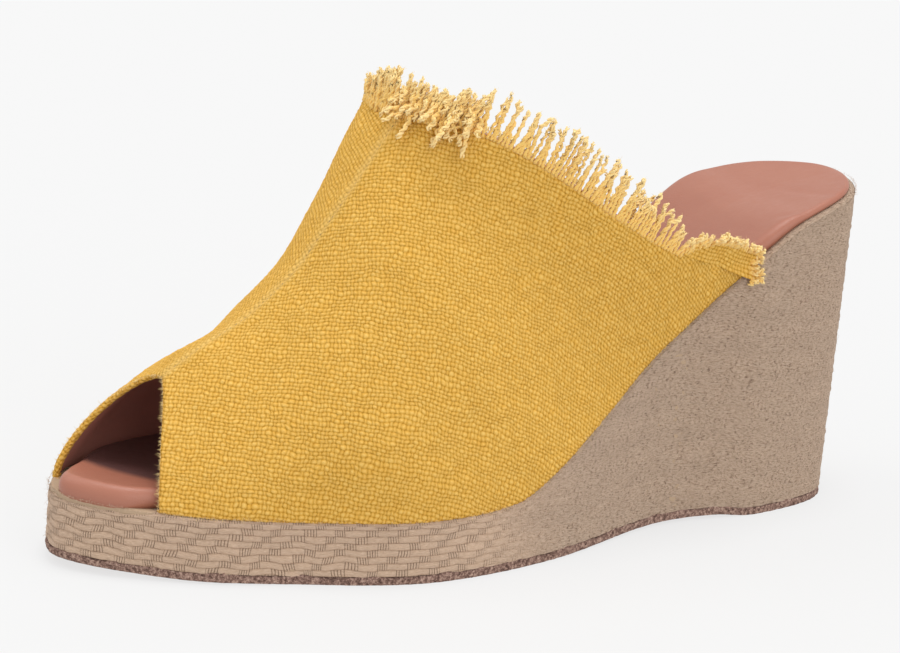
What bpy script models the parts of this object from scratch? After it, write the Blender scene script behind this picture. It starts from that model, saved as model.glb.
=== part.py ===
"""Left espadrille wedge sandal: an open-toed, open-backed canvas mule on a jute-wrapped wedge.

Five pieces, each a closed solid: outsole, wedge, insole, upper and collar_fringe.
Across is measured from the heel's centre line towards the little toe, along from the back
of the heel towards the toes, and up from the ground. The world frame has the toes at -Y,
the little toe's side at +X and the ground at z = 0, under the middle of the whole.
"""
import math
import random

import bmesh
import bpy
import numpy as np
from mathutils import Vector

# Sole sizes, metres
SOLE_LENGTH = 0.2314
BALL_WIDTH = 0.0851
PLATFORM = 0.0160       # ground to the wedge's top edge under the ball
HEEL_RISE = 0.0709      # the wedge's top edge at the heel, above the platform
TOE_SPRING = 0.0027     # lift of the toe's underside
ARCH_LIFT = 0.0011      # lift of the waist's underside
HEEL_UNDERCUT = 0.0070  # the heel's foot lies this far forward of its top
HEEL_FADE = 0.0600      # length over which the undercut fades out
WEDGE_FLARE = 0.0006    # the wedge's foot beyond its top edge
WEDGE_SOFTEN = 0.0012   # rounding of the wedge's top edge
OUTSOLE = 0.0021        # thickness of the rubber
OUTSOLE_LIP = 0.0004    # rubber beyond the wedge's foot
CLEARANCE = 0.0003      # gap left between two curved pieces

# Insole sizes
PAD_THICKNESS = 0.0047  # under the toes and the arch
PAD_ROUND = 0.0026      # rounding of the pad's edge
PAD_TUCK = 0.3          # share of the rounding by which the pad's foot lies in
ROUND_SHARE = 0.7       # most of the pad's thickness that its rounding takes
SEAT_DISH = 0.0008      # hollow along the middle
DISH_WIDTH = 0.62       # share of BALL_WIDTH from which the hollow has its full depth
OPEN_MARGIN = 0.0008    # wedge edge left bare in front of the upper
SEAT_MARGIN = 0.0014    # wedge edge left bare behind the upper
WALL_EASE = 0.0005      # room beside the upper's wall, beyond the clearance
EASE_LENGTH = 0.0080    # length over which the pad widens past the ends of the wall

# Upper sizes
WALL = 0.0020           # canvas and its lining
UPPER_MARGIN = 0.0003   # wedge edge left bare beside the upper
INSTEP_HEIGHT = 0.0975  # platform to the collar's middle
SIDE_BULGE = 0.0012     # how far the sides swell
LATERAL_BOW = 0.0040    # how far the collar swells beside the ankle, on each side
MEDIAL_BOW = 0.0015
TWIST = 0.20            # how far forward the medial side stands, for each length inward
HORSESHOE = 1.15        # the collar's climb starts more gently above 1
SEAM_WIDTH = 0.0052     # middle seam, between its two steps
SEAM_RISE = 0.0005
SEAM_STEP = 0.0010      # width of each step

# Fringe sizes
FRINGE_LENGTH = 0.0116
FRINGE_BAND = 0.0012    # height of the band that carries the locks
FRINGE_THICKNESS = 0.0012
FRINGE_END = 0.0030     # bare collar at each foot
LOCK_WIDTH = 0.0021
LOCK_GAP = 0.0011
LOCK_LIFT = 0.55        # how far the locks turn up from the collar's direction
LOCK_LEAN = 0.10        # most that a lock leans along the collar
LOCK_FLARE = 0.16       # most that a lock turns outward
LOCK_SHORTEST = 0.80    # shares of the length that FRINGE_SHARES gives
LOCK_LONGEST = 1.08

# Sole outline, heel back first, down the little toe's side to the toes and back.
# Across is a share of BALL_WIDTH, along a share of SOLE_LENGTH.
OUTLINE = (
    ("heel back", 0.005, 0.000),
    ("lateral heel corner", 0.230, 0.034),
    ("lateral heel", 0.338, 0.156),
    ("lateral waist", 0.331, 0.294),
    ("lateral behind ball", 0.510, 0.480),
    ("lateral ball", 0.562, 0.643),
    ("lateral toes", 0.437, 0.778),
    ("lateral toe corner", 0.300, 0.895),
    ("toe tip", 0.028, 1.000),
    ("medial toe corner", -0.262, 0.945),
    ("medial ball", -0.438, 0.775),
    ("medial waist", -0.350, 0.533),
    ("medial arch", -0.345, 0.269),
    ("medial heel", -0.346, 0.117),
    ("medial heel corner", -0.230, 0.048),
)

# Height of the wedge's top edge above the platform, as a share of HEEL_RISE
TOP_EDGE = (
    ("heel back", 0.000, 1.000),
    ("heel seat", 0.117, 0.900),
    ("seat front", 0.203, 0.724),
    ("shank back", 0.268, 0.553),
    ("shank", 0.333, 0.402),
    ("shank front", 0.398, 0.257),
    ("behind ball", 0.462, 0.124),
    ("break", 0.527, 0.018),
    ("ball", 0.592, 0.000),
    ("toes", 0.860, 0.004),
    ("toe tip", 1.000, 0.012),
)

# Lift of the underside: the first share is of TOE_SPRING, the second of ARCH_LIFT
UNDERSIDE = (
    ("heel back", 0.000, 0.00, 0.00),
    ("heel breast", 0.173, 0.00, 0.00),
    ("arch", 0.225, 0.00, 1.00),
    ("arch front", 0.333, 0.00, 0.75),
    ("behind ball", 0.441, 0.00, 0.25),
    ("ball back", 0.527, 0.00, 0.00),
    ("ball front", 0.722, 0.00, 0.00),
    ("toes", 0.860, 0.19, 0.00),
    ("toe tip", 1.000, 1.00, 0.00),
)

# Thickness of the insole, as a share of PAD_THICKNESS
PAD = (
    ("heel back", 0.000, 0.20),
    ("seat back", 0.020, 0.38),
    ("seat", 0.100, 0.45),
    ("seat front", 0.160, 0.90),
    ("shank", 0.220, 1.00),
    ("toe tip", 1.000, 1.00),
)

# The crown, the upper's middle line from the collar to the toe opening: across is a share
# of BALL_WIDTH, along of SOLE_LENGTH and up of INSTEP_HEIGHT above the platform
CROWN = (
    ("collar", 0.088, 0.605, 1.000),
    ("upper instep", 0.085, 0.629, 0.919),
    ("instep", 0.081, 0.656, 0.826),
    ("middle", 0.073, 0.687, 0.718),
    ("lower instep", 0.059, 0.731, 0.573),
    ("above the toes", 0.045, 0.778, 0.470),
    ("toes", 0.038, 0.835, 0.393),
    ("toe opening", 0.035, 0.878, 0.326),
)

# Sections of the upper, from the toe opening to the collar: the lateral foot, the medial
# foot and the crown as shares of SOLE_LENGTH, then the fullness of the lateral and of the
# medial side, 1 for a straight slope and 2 for an ellipse, the sweep, from an upright arch,
# 0, to the collar's horseshoe, 1, and the lag, with which the section climbs steeply before
# it leans back when it is above 1.
SECTIONS = (
    ("toe opening", 0.000, 0.913, 0.984, 0.878, 1.20, 2.30, 0.00, 1.50),
    ("behind the rim", 0.050, 0.889, 0.955, 0.865, 1.29, 1.85, 0.00, 1.20),
    ("toes", 0.125, 0.852, 0.875, 0.845, 1.42, 1.65, 0.00, 1.20),
    ("front of ball", 0.250, 0.775, 0.800, 0.808, 1.55, 1.50, 0.05, 1.05),
    ("ball", 0.400, 0.665, 0.690, 0.762, 1.65, 1.90, 0.20, 1.00),
    ("behind ball", 0.550, 0.545, 0.570, 0.717, 1.75, 2.10, 0.45, 1.00),
    ("waist", 0.700, 0.420, 0.445, 0.676, 1.85, 2.50, 0.70, 1.00),
    ("instep", 0.850, 0.300, 0.320, 0.639, 1.95, 3.20, 0.88, 1.00),
    ("collar", 1.000, 0.186, 0.196, 0.605, 2.00, 4.00, 1.00, 1.00),
)

# Length of the fringe along the collar, from the lateral foot, 0, to the medial one, 1, as
# a share of FRINGE_LENGTH
FRINGE_SHARES = (
    ("lateral foot", 0.00, 0.90),
    ("lateral side", 0.20, 1.00),
    ("lateral instep", 0.38, 1.00),
    ("crown", 0.50, 0.76),
    ("medial peak", 0.60, 0.68),
    ("medial side", 0.78, 0.85),
    ("medial foot", 1.00, 0.85),
)

# A lock's sections above the band: share of its length, share of its foot's size
LOCK_TAPER = (
    ("lower", 0.35, 0.95),
    ("upper", 0.70, 0.80),
    ("tip", 1.00, 0.45),
)

STATIONS = 40           # cross-sections along each sole piece
RINGS = 19              # sections of the upper that are built
SIDE_COLUMNS = 13       # columns on each side of the upper, beside the seam's own
SECTION_STEPS = 60      # steps of the curve that the columns are read from
ROUND_MIDDLE = 1 - math.sqrt(0.5)  # how far a quarter round's middle lies inside its corner

CANVAS = ("canvas", (0.78, 0.47, 0.07), 0.85)
JUTE = ("jute", (0.47, 0.35, 0.24), 0.95)
LEATHER = ("leather", (0.55, 0.22, 0.14), 0.45)
RUBBER = ("rubber", (0.20, 0.13, 0.10), 0.80)
YARN = ("yarn", (0.80, 0.52, 0.12), 0.90)


def clear_scene():
    for thing in list(bpy.data.objects):
        bpy.data.objects.remove(thing, do_unlink=True)


def smooth(table, column, key=1):
    """A curve through one column of a table over its key column, with no overshoot."""
    rows = sorted(table, key=lambda row: row[key])
    xs = [row[key] for row in rows]
    ys = [row[column] for row in rows]
    steps = [b - a for a, b in zip(xs, xs[1:])]
    slopes = [(b - a) / step for a, b, step in zip(ys, ys[1:], steps)]
    tangents = [slopes[0]]
    for before, after in zip(slopes, slopes[1:]):
        flat = before * after <= 0.0
        tangents.append(0.0 if flat else 2.0 * before * after / (before + after))
    tangents.append(slopes[-1])

    def value(at):
        at = min(max(at, xs[0]), xs[-1])
        i = min(sum(x <= at for x in xs) - 1, len(steps) - 1)
        s = (at - xs[i]) / steps[i]
        rise = ys[i + 1] - ys[i]
        bend_in = tangents[i] * steps[i] - rise
        bend_out = tangents[i + 1] * steps[i] - rise
        return ys[i] + s * rise + s * (1 - s) * ((1 - s) * bend_in - s * bend_out)

    return value


def closed_curve(points, per_span=24):
    """Points along a closed centripetal Catmull-Rom curve through the given ones."""
    count = len(points)
    curve = []
    for i in range(count):
        p0, p1, p2, p3 = (np.array(points[(i + k - 1) % count]) for k in range(4))
        t1 = np.linalg.norm(p1 - p0) ** 0.5
        t2 = t1 + np.linalg.norm(p2 - p1) ** 0.5
        t3 = t2 + np.linalg.norm(p3 - p2) ** 0.5
        for k in range(per_span):
            t = t1 + (t2 - t1) * k / per_span
            a1 = p0 * (t1 - t) / t1 + p1 * t / t1
            a2 = p1 * (t2 - t) / (t2 - t1) + p2 * (t - t1) / (t2 - t1)
            a3 = p2 * (t3 - t) / (t3 - t2) + p3 * (t - t2) / (t3 - t2)
            b1 = a1 * (t2 - t) / t2 + a2 * t / t2
            b2 = a2 * (t3 - t) / (t3 - t1) + a3 * (t - t1) / (t3 - t1)
            curve.append(b1 * (t2 - t) / (t2 - t1) + b2 * (t - t1) / (t2 - t1))
    return np.array(curve)


def split_outline():
    """The outline's two sides, each as rows of along and across, heel to toe."""
    points = [(across * BALL_WIDTH, along * SOLE_LENGTH) for _, across, along in OUTLINE]
    curve = closed_curve(points)
    curve = np.roll(curve, -int(np.argmin(curve[:, 1])), axis=0)
    toe = int(np.argmax(curve[:, 1]))
    lateral = curve[:toe + 1]
    medial = np.vstack([curve[toe:], curve[:1]])[::-1]
    return lateral[:, ::-1], medial[:, ::-1]


LATERAL, MEDIAL = split_outline()
BACK = LATERAL[0, 0]
FRONT = LATERAL[-1, 0]
MIDDLE_ACROSS = (LATERAL[:, 1].max() + MEDIAL[:, 1].min()) / 2
MIDDLE_ALONG = (BACK + FRONT) / 2
top_share = smooth(TOP_EDGE, 2)
spring_share = smooth(UNDERSIDE, 2)
arch_share = smooth(UNDERSIDE, 3)
pad_share = smooth(PAD, 2)
crown_across = smooth(CROWN, 1, key=2)
crown_up = smooth(CROWN, 3, key=2)


def place(across, along, up):
    return Vector((across - MIDDLE_ACROSS, MIDDLE_ALONG - along, up))


def edge(along, side, inset=0.0):
    """Across at the wedge's top edge, with the whole outline drawn in by inset."""
    reach = (FRONT - BACK) / (FRONT - BACK - 2 * inset)
    along = BACK + (along - BACK - inset) * reach
    rows = LATERAL if side > 0 else MEDIAL
    return float(np.interp(along, rows[:, 0], rows[:, 1])) - side * inset


def spring(along):
    return TOE_SPRING * spring_share(along / SOLE_LENGTH)


def underside(along):
    return spring(along) + ARCH_LIFT * arch_share(along / SOLE_LENGTH)


def top_edge(along):
    return PLATFORM + HEEL_RISE * top_share(along / SOLE_LENGTH) + spring(along)


def foot_along(along):
    """Where a point of the top edge stands at the foot: the heel is undercut."""
    left = min(max((along - BACK) / HEEL_FADE, 0.0), 1.0)
    return along + HEEL_UNDERCUT * (1.0 - left) ** 2


def stations(inset):
    """Places along the sole, closer together at its round ends."""
    low, high = BACK + inset, FRONT - inset
    turns = [math.pi * (i + 1) / (STATIONS + 1) for i in range(STATIONS)]
    return [low + (high - low) * (1 - math.cos(turn)) / 2 for turn in turns]


def build(name, points, faces, finish):
    """A closed solid from points and faces, with its material."""
    slot, colour, roughness = finish
    mesh = bpy.data.meshes.new(name)
    shape = bmesh.new()
    corners = [shape.verts.new(point) for point in points]
    for face in faces:
        shape.faces.new([corners[i] for i in face])
    bmesh.ops.recalc_face_normals(shape, faces=shape.faces)
    if shape.calc_volume(signed=True) < 0:
        bmesh.ops.reverse_faces(shape, faces=shape.faces)
    shape.to_mesh(mesh)
    shape.free()
    thing = bpy.data.objects.new(name, mesh)
    bpy.context.scene.collection.objects.link(thing)
    material = bpy.data.materials.get(slot) or bpy.data.materials.new(slot)
    material.use_nodes = True
    shader = material.node_tree.nodes["Principled BSDF"]
    shader.inputs["Base Color"].default_value = (*colour, 1.0)
    shader.inputs["Roughness"].default_value = roughness
    mesh.materials.append(material)
    return thing


def loft(name, rings, finish):
    """A solid through closed rings; each end is closed by pairing the ring's two sides."""
    size = len(rings[0])
    points = [point for ring in rings for point in ring]
    faces = []
    for i in range(len(rings) - 1):
        for k in range(size):
            n = (k + 1) % size
            faces.append((i * size + k, i * size + n, (i + 1) * size + n, (i + 1) * size + k))
    for start in (0, (len(rings) - 1) * size):
        for k in range(size // 2 - 1):
            far = size - 1 - k
            faces.append((start + k, start + k + 1, start + far - 1, start + far))
        if size % 2:
            k = size // 2
            faces.append((start + k - 1, start + k, start + k + 1))
    return build(name, points, faces, finish)


def make_outsole():
    """A thin rubber slab that follows the underside's arch and toe spring."""
    rings = []
    reach = WEDGE_FLARE + OUTSOLE_LIP
    for along in stations(-reach):
        foot = foot_along(along)
        low = underside(foot)
        sides = [edge(along, side, -reach) for side in (-1, 1)]
        corners = ((sides[0], 0.0), (sides[0], OUTSOLE), (sides[1], OUTSOLE), (sides[1], 0.0))
        rings.append([place(across, foot, low + up) for across, up in corners])
    return loft("outsole", rings, RUBBER)


def make_wedge():
    """The jute-wrapped body, from the outsole up to its softened top edge."""
    rings = []
    climb = (0.0, 0.33, 0.66, 1.0)
    across_top = (0.25, 0.5, 0.75)
    for along in stations(0.0):
        foot = foot_along(along)
        low = underside(foot) + OUTSOLE + CLEARANCE
        high = top_edge(along)
        inner = edge(along, -1), edge(along, 1)
        soft = min(WEDGE_SOFTEN, (inner[1] - inner[0]) / 4)
        half = []
        for side, top in zip((-1, 1), inner):
            wall = []
            for share in climb:
                flare = WEDGE_FLARE * (1 - share)
                up = low + (high - soft - low) * share
                wall.append(place(top + side * flare, foot + (along - foot) * share, up))
            cut = soft * ROUND_MIDDLE
            wall.append(place(top - side * cut, along, high - cut))
            wall.append(place(top - side * soft, along, high))
            half.append(wall)
        left, right = inner[0] + soft, inner[1] - soft
        top = [place(left + (right - left) * share, along, high) for share in across_top]
        rings.append(half[0] + top + half[1][::-1])
    return loft("wedge", rings, JUTE)


def wall_margins(side):
    """Rows of along and of the margin that the upper's wall takes at the pad's top."""
    inside = wall_grids()[1]
    rows = []
    for row in inside if side > 0 else inside[:, ::-1]:
        low = row[:SIDE_COLUMNS]
        heights = [up - top_edge(along) for _, along, up in low]
        top = CLEARANCE + PAD_THICKNESS
        across = float(np.interp(top, heights, low[:, 0]))
        along = float(np.interp(top, heights, low[:, 1]))
        rows.append((along, side * (edge(along, side, OPEN_MARGIN) - across) + OPEN_MARGIN))
    return np.array(sorted(rows))


def insole_margin(along, side, margins):
    """Wedge edge left bare beside the insole, wide enough for the upper's wall."""
    column = 2 if side > 0 else 3
    front = SECTIONS[0][column] * SOLE_LENGTH
    back = SECTIONS[-1][column] * SOLE_LENGTH
    under = float(np.interp(along, margins[:, 0], margins[:, 1])) + CLEARANCE + WALL_EASE
    ahead = min(max((along - front) / EASE_LENGTH, 0.0), 1.0)
    behind = min(max((back - along) / EASE_LENGTH, 0.0), 1.0)
    return under + (OPEN_MARGIN - under) * ahead + (SEAT_MARGIN - under) * behind


def pad(along):
    """The insole's thickness, rounded off at the heel's and the toes' ends."""
    thick = PAD_THICKNESS * pad_share(along / SOLE_LENGTH)
    curve = min(PAD_ROUND, thick * ROUND_SHARE)
    near = min(along - BACK, FRONT - along) - OPEN_MARGIN
    left = min(max(1 - near / curve, 0.0), 1.0)
    return thick - curve * (1 - math.sqrt(1 - left * left))


def make_insole():
    """The leather-covered footbed: flat underneath, rounded at the edge, dished on top."""
    rings = []
    rounding = (10, 35, 60, 90)
    across_top = (0.15, 0.32, 0.5, 0.68, 0.85)
    margins = {side: wall_margins(side) for side in (-1, 1)}
    for along in stations(OPEN_MARGIN):
        low = top_edge(along) + CLEARANCE
        thick = pad(along)
        high = low + thick
        sides = []
        for side in (-1, 1):
            drawn = insole_margin(along, side, margins[side]) - OPEN_MARGIN
            sides.append(edge(along, side, OPEN_MARGIN) - side * drawn)
        width = sides[1] - sides[0]
        curve = min(PAD_ROUND, width / 4, thick * ROUND_SHARE)
        half = []
        for side, outer in zip((-1, 1), sides):
            wall = [place(outer - side * curve * PAD_TUCK, along, low)]
            for turn in rounding:
                angle = math.radians(turn)
                inward = curve * (1 - math.cos(angle))
                drop = curve * (1 - math.sin(angle))
                wall.append(place(outer - side * inward, along, high - drop))
            half.append(wall)
        left, right = sides[0] + curve, sides[1] - curve
        hollow = SEAT_DISH * min(1.0, width / (BALL_WIDTH * DISH_WIDTH))
        top = []
        for share in across_top:
            dish = hollow * math.sin(math.pi * share)
            top.append(place(left + (right - left) * share, along, high - dish))
        rings.append(half[0] + top + half[1][::-1])
    return loft("insole", rings, LEATHER)


def half_section(u, side):
    """Points of one section of the upper's outside, from its foot up to the crown."""
    foot = smooth(SECTIONS, 2 if side > 0 else 3)(u) * SOLE_LENGTH
    crown = smooth(SECTIONS, 4)(u) * SOLE_LENGTH
    full = smooth(SECTIONS, 5 if side > 0 else 6)(u)
    sweep = smooth(SECTIONS, 7)(u)
    lag = smooth(SECTIONS, 8)(u)
    lengthwise = full + sweep * (3 - full)
    across_foot = edge(foot, side) - side * UPPER_MARGIN
    across_crown = crown_across(crown / SOLE_LENGTH) * BALL_WIDTH
    up_foot = top_edge(foot) + CLEARANCE
    up_crown = PLATFORM + INSTEP_HEIGHT * crown_up(crown / SOLE_LENGTH)
    bow = sweep * (LATERAL_BOW if side > 0 else MEDIAL_BOW)
    points = []
    for i in range(SECTION_STEPS + 1):
        turn = math.pi / 2 * i / SECTION_STEPS
        inward = max(math.cos(turn), 0.0) ** (2 / full)
        run = math.sin(turn) ** (2 / lengthwise)
        horseshoe = (run * run * (3 - 2 * run)) ** HORSESHOE
        climb = (1 - sweep) * run + sweep * horseshoe
        swell = SIDE_BULGE * math.sin(2 * turn) * (1 - sweep) + bow * math.sin(math.pi * run)
        across = across_crown + (across_foot - across_crown) * inward + side * swell
        along = foot + (crown - foot) * run ** lag
        if side < 0:
            along += TWIST * sweep * run * run * (across_crown - across)
        points.append(np.array((across, along, up_foot + (up_crown - up_foot) * climb)))
    return points


def resample(points, distances):
    """Points at the given distances along a polyline."""
    points = np.array(points)
    steps = np.linalg.norm(np.diff(points, axis=0), axis=1)
    run = np.concatenate([[0.0], np.cumsum(steps)])
    return np.array([[np.interp(d, run, points[:, k]) for k in range(3)] for d in distances])


def length_of(points):
    return float(np.linalg.norm(np.diff(np.array(points), axis=0), axis=1).sum())


def outside_grid():
    """The upper's outside: rows from toe opening to collar, columns lateral to medial."""
    rows = []
    for i in range(RINGS):
        row = []
        for side in (1, -1):
            half = half_section(i / (RINGS - 1), side)
            girth = length_of(half)
            seam = girth - SEAM_WIDTH / 2 - SEAM_STEP
            steps = [seam * k / SIDE_COLUMNS for k in range(SIDE_COLUMNS + 1)]
            steps.append(girth - SEAM_WIDTH / 2)
            if side > 0:
                steps.append(girth)
            points = resample(half, steps)
            row.extend(points if side > 0 else points[::-1])
        rows.append(row)
    return np.array(rows)


def grid_normals(grid):
    """Outward unit normals of a grid of points."""
    ahead = np.gradient(grid, axis=0)
    aside = np.gradient(grid, axis=1)
    normals = np.cross(ahead, aside)
    normals /= np.linalg.norm(normals, axis=2, keepdims=True)
    middle = normals[normals.shape[0] // 2, normals.shape[1] // 2]
    return normals if middle[2] > 0 else -normals


def raise_seam(grid, normals):
    """Lifts the columns of the middle seam, so that the wall steps up to it."""
    middle = grid.shape[1] // 2
    raised = grid.copy()
    for column in (middle - 1, middle, middle + 1):
        raised[:, column] += normals[:, column] * SEAM_RISE
    return raised


def wall_grids():
    """The upper's outside and inside as grids."""
    grid = outside_grid()
    normals = grid_normals(grid)
    inside = grid - normals * WALL
    for column, side in ((0, 1), (-1, -1)):
        inside[:, column, 0] = grid[:, column, 0] - side * WALL
        inside[:, column, 1] = grid[:, column, 1]
        inside[:, column, 2] = grid[:, column, 2]
    return raise_seam(grid, normals), inside


def make_upper():
    """One hollow canvas wall, open at the toes, at the collar and underneath."""
    outside, inside = wall_grids()
    rows, columns = outside.shape[:2]
    points = [place(*p) for grid in (outside, inside) for row in grid for p in row]
    half = rows * columns
    faces = []
    for i in range(rows - 1):
        for k in range(columns - 1):
            a, b = i * columns + k, i * columns + k + 1
            c, d = b + columns, a + columns
            faces.append((a, b, c, d))
            faces.append((half + a, half + d, half + c, half + b))
    rim = list(range(columns))
    rim += [i * columns + columns - 1 for i in range(1, rows)]
    rim += [(rows - 1) * columns + k for k in range(columns - 2, -1, -1)]
    rim += [i * columns for i in range(rows - 2, 0, -1)]
    for a, b in zip(rim, rim[1:] + rim[:1]):
        faces.append((a, b, half + b, half + a))
    return build("upper", points, faces, CANVAS)


def collar_frame():
    """The collar's middle line with its outward and onward directions."""
    outside, inside = wall_grids()
    line = (outside[-1] + inside[-1]) / 2
    outward = outside[-1] - inside[-1]
    outward /= np.linalg.norm(outward, axis=1, keepdims=True)
    onward = outside[-1] - outside[-2]
    onward /= np.linalg.norm(onward, axis=1, keepdims=True)
    return line, outward, onward


def unit(vector):
    return vector / np.linalg.norm(vector)


def make_fringe():
    """A band on the collar's edge with its frayed locks fused on."""
    line, outward, onward = collar_frame()
    steps = np.linalg.norm(np.diff(line, axis=0), axis=1)
    run = np.concatenate([[0.0], np.cumsum(steps)])
    span = run[-1] - 2 * FRINGE_END
    count = int(span / (LOCK_WIDTH + LOCK_GAP))
    pitch = span / count
    pick = random.Random(7)
    share_of_length = smooth(FRINGE_SHARES, 2)

    def read(rows, at):
        return np.array([np.interp(at, run, rows[:, k]) for k in range(3)])

    cuts = [FRINGE_END]
    for i in range(count):
        start = FRINGE_END + pitch * i + (pitch - LOCK_WIDTH) / 2
        cuts += [start, start + LOCK_WIDTH]
    cuts.append(FRINGE_END + span)
    points, faces = [], []
    for at in cuts:
        out = unit(read(outward, at)) * FRINGE_THICKNESS / 2
        on = unit(read(onward, at))
        low = read(line, at) + on * CLEARANCE
        high = low + on * FRINGE_BAND
        points += [low + out, low - out, high - out, high + out]
    for i in range(len(cuts) - 1):
        a, b = 4 * i, 4 * i + 4
        faces.append((a, b, b + 1, a + 1))
        faces.append((a + 1, b + 1, b + 2, a + 2))
        faces.append((a, a + 3, b + 3, b))
        if i % 2 == 0:
            faces.append((a + 3, a + 2, b + 2, b + 3))
    last = 4 * (len(cuts) - 1)
    faces.append((0, 1, 2, 3))
    faces.append((last + 3, last + 2, last + 1, last))

    for i in range(count):
        at = FRINGE_END + pitch * (i + 0.5)
        a, b = 4 * (2 * i + 1), 4 * (2 * i + 2)
        ring = [a + 3, a + 2, b + 2, b + 3]
        corners = [points[k] for k in ring]
        on = unit(read(onward, at) + np.array((0.0, 0.0, LOCK_LIFT)))
        out = unit(read(outward, at))
        beside = unit(corners[2] - corners[1])
        lean = beside * pick.uniform(-LOCK_LEAN, LOCK_LEAN)
        lean = lean + out * pick.uniform(0.0, LOCK_FLARE)
        reach = FRINGE_LENGTH * share_of_length(at / run[-1])
        reach *= pick.uniform(LOCK_SHORTEST, LOCK_LONGEST)
        centre = sum(corners) / 4
        for _, share, width in LOCK_TAPER:
            shift = (on * share + lean * share * share) * reach
            fresh = []
            for corner in corners:
                fresh.append(len(points))
                points.append(centre + (corner - centre) * width + shift)
            for k in range(4):
                n = (k + 1) % 4
                faces.append((ring[k], ring[n], fresh[n], fresh[k]))
            ring = fresh
        faces.append(tuple(ring))
    return build("collar_fringe", [place(*p) for p in points], faces, YARN)


clear_scene()
make_outsole()
make_wedge()
make_insole()
make_upper()
make_fringe()
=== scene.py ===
"""Left espadrille wedge mule: the finish of every surface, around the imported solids.

The script's own unit is the millimetre, in the frame's axes: the toes at -Y, the little
toe's side at +X. Shoe coordinates are across (towards the little toe), along (from the
back of the heel towards the toes) and up.
"""
import math

import bpy
import numpy as np
from mathutils import Matrix, Vector
from mathutils.bvhtree import BVHTree


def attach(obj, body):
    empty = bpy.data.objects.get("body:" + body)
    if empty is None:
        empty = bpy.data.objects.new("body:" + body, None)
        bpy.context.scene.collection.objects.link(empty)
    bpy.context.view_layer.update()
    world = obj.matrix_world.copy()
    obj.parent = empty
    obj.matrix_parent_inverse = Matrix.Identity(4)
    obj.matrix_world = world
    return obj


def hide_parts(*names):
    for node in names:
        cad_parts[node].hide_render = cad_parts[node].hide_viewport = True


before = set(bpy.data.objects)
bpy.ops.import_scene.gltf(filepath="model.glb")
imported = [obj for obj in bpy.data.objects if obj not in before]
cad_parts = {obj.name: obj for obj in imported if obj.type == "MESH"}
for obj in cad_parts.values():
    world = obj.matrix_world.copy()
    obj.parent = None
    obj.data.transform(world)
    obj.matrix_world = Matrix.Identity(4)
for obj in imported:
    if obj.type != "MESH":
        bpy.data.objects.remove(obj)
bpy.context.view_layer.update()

METRE = 0.001           # one of the script's millimetres

# Sole sizes, as the solids have them
SOLE_LENGTH = 231.4
BALL_WIDTH = 85.1
PLATFORM = 16.0
HEEL_RISE = 70.9
TOE_SPRING = 2.7
ARCH_LIFT = 1.1
HEEL_UNDERCUT = 7.0
HEEL_FADE = 60.0
WEDGE_FLARE = 0.6
WEDGE_SOFTEN = 1.2
OUTSOLE = 2.1
OUTSOLE_LIP = 0.4
CLEARANCE = 0.3
PAD_THICKNESS = 4.7
PAD_ROUND = 2.9
ROUND_SHARE = 0.7
SEAT_DISH = 0.8
OPEN_MARGIN = 0.8
SEAT_MARGIN = 1.4
TOE_MARGIN = -0.15      # at the open toe the footbed laps a little past the wedge's edge
TOE_LAP = 1.6           # and hangs this far below its foot elsewhere
SEAT_CANT = 0.9         # lift of the heel seat's medial side
WALL_EASE = 0.5
EASE_LENGTH = 8.0
WALL = 2.0
UPPER_MARGIN = 0.3
INSTEP_HEIGHT = 97.5
SIDE_BULGE = 1.2
LATERAL_BOW = 4.0
MEDIAL_BOW = 1.5
TWIST = 0.20
HORSESHOE = 1.15

# Sole outline: across as a share of BALL_WIDTH, along as a share of SOLE_LENGTH
OUTLINE = (
    ("heel back", 0.005, 0.000),
    ("lateral heel corner", 0.230, 0.034),
    ("lateral heel", 0.338, 0.156),
    ("lateral waist", 0.331, 0.294),
    ("lateral behind ball", 0.510, 0.480),
    ("lateral ball", 0.562, 0.643),
    ("lateral toes", 0.437, 0.778),
    ("lateral toe corner", 0.300, 0.895),
    ("toe tip", 0.028, 1.000),
    ("medial toe corner", -0.262, 0.945),
    ("medial ball", -0.438, 0.775),
    ("medial waist", -0.350, 0.533),
    ("medial arch", -0.345, 0.269),
    ("medial heel", -0.346, 0.117),
    ("medial heel corner", -0.230, 0.048),
)

# Height of the wedge's top edge above the platform, as a share of HEEL_RISE
TOP_EDGE = (
    ("heel back", 0.000, 1.000),
    ("heel seat", 0.117, 0.900),
    ("seat front", 0.203, 0.724),
    ("shank back", 0.268, 0.553),
    ("shank", 0.333, 0.402),
    ("shank front", 0.398, 0.257),
    ("behind ball", 0.462, 0.124),
    ("break", 0.527, 0.018),
    ("ball", 0.592, 0.000),
    ("toes", 0.860, 0.004),
    ("toe tip", 1.000, 0.012),
)

# Lift of the underside: shares of TOE_SPRING and of ARCH_LIFT
UNDERSIDE = (
    ("heel back", 0.000, 0.00, 0.00),
    ("heel breast", 0.173, 0.00, 0.00),
    ("arch", 0.225, 0.00, 1.00),
    ("arch front", 0.333, 0.00, 0.75),
    ("behind ball", 0.441, 0.00, 0.25),
    ("ball back", 0.527, 0.00, 0.00),
    ("ball front", 0.722, 0.00, 0.00),
    ("toes", 0.860, 0.19, 0.00),
    ("toe tip", 1.000, 1.00, 0.00),
)

# Thickness of the insole, as a share of PAD_THICKNESS
PAD = (
    ("heel back", 0.000, 0.20),
    ("seat back", 0.020, 0.38),
    ("seat", 0.100, 0.45),
    ("seat front", 0.160, 0.90),
    ("shank", 0.220, 1.00),
    ("toe tip", 1.000, 1.00),
)

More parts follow.
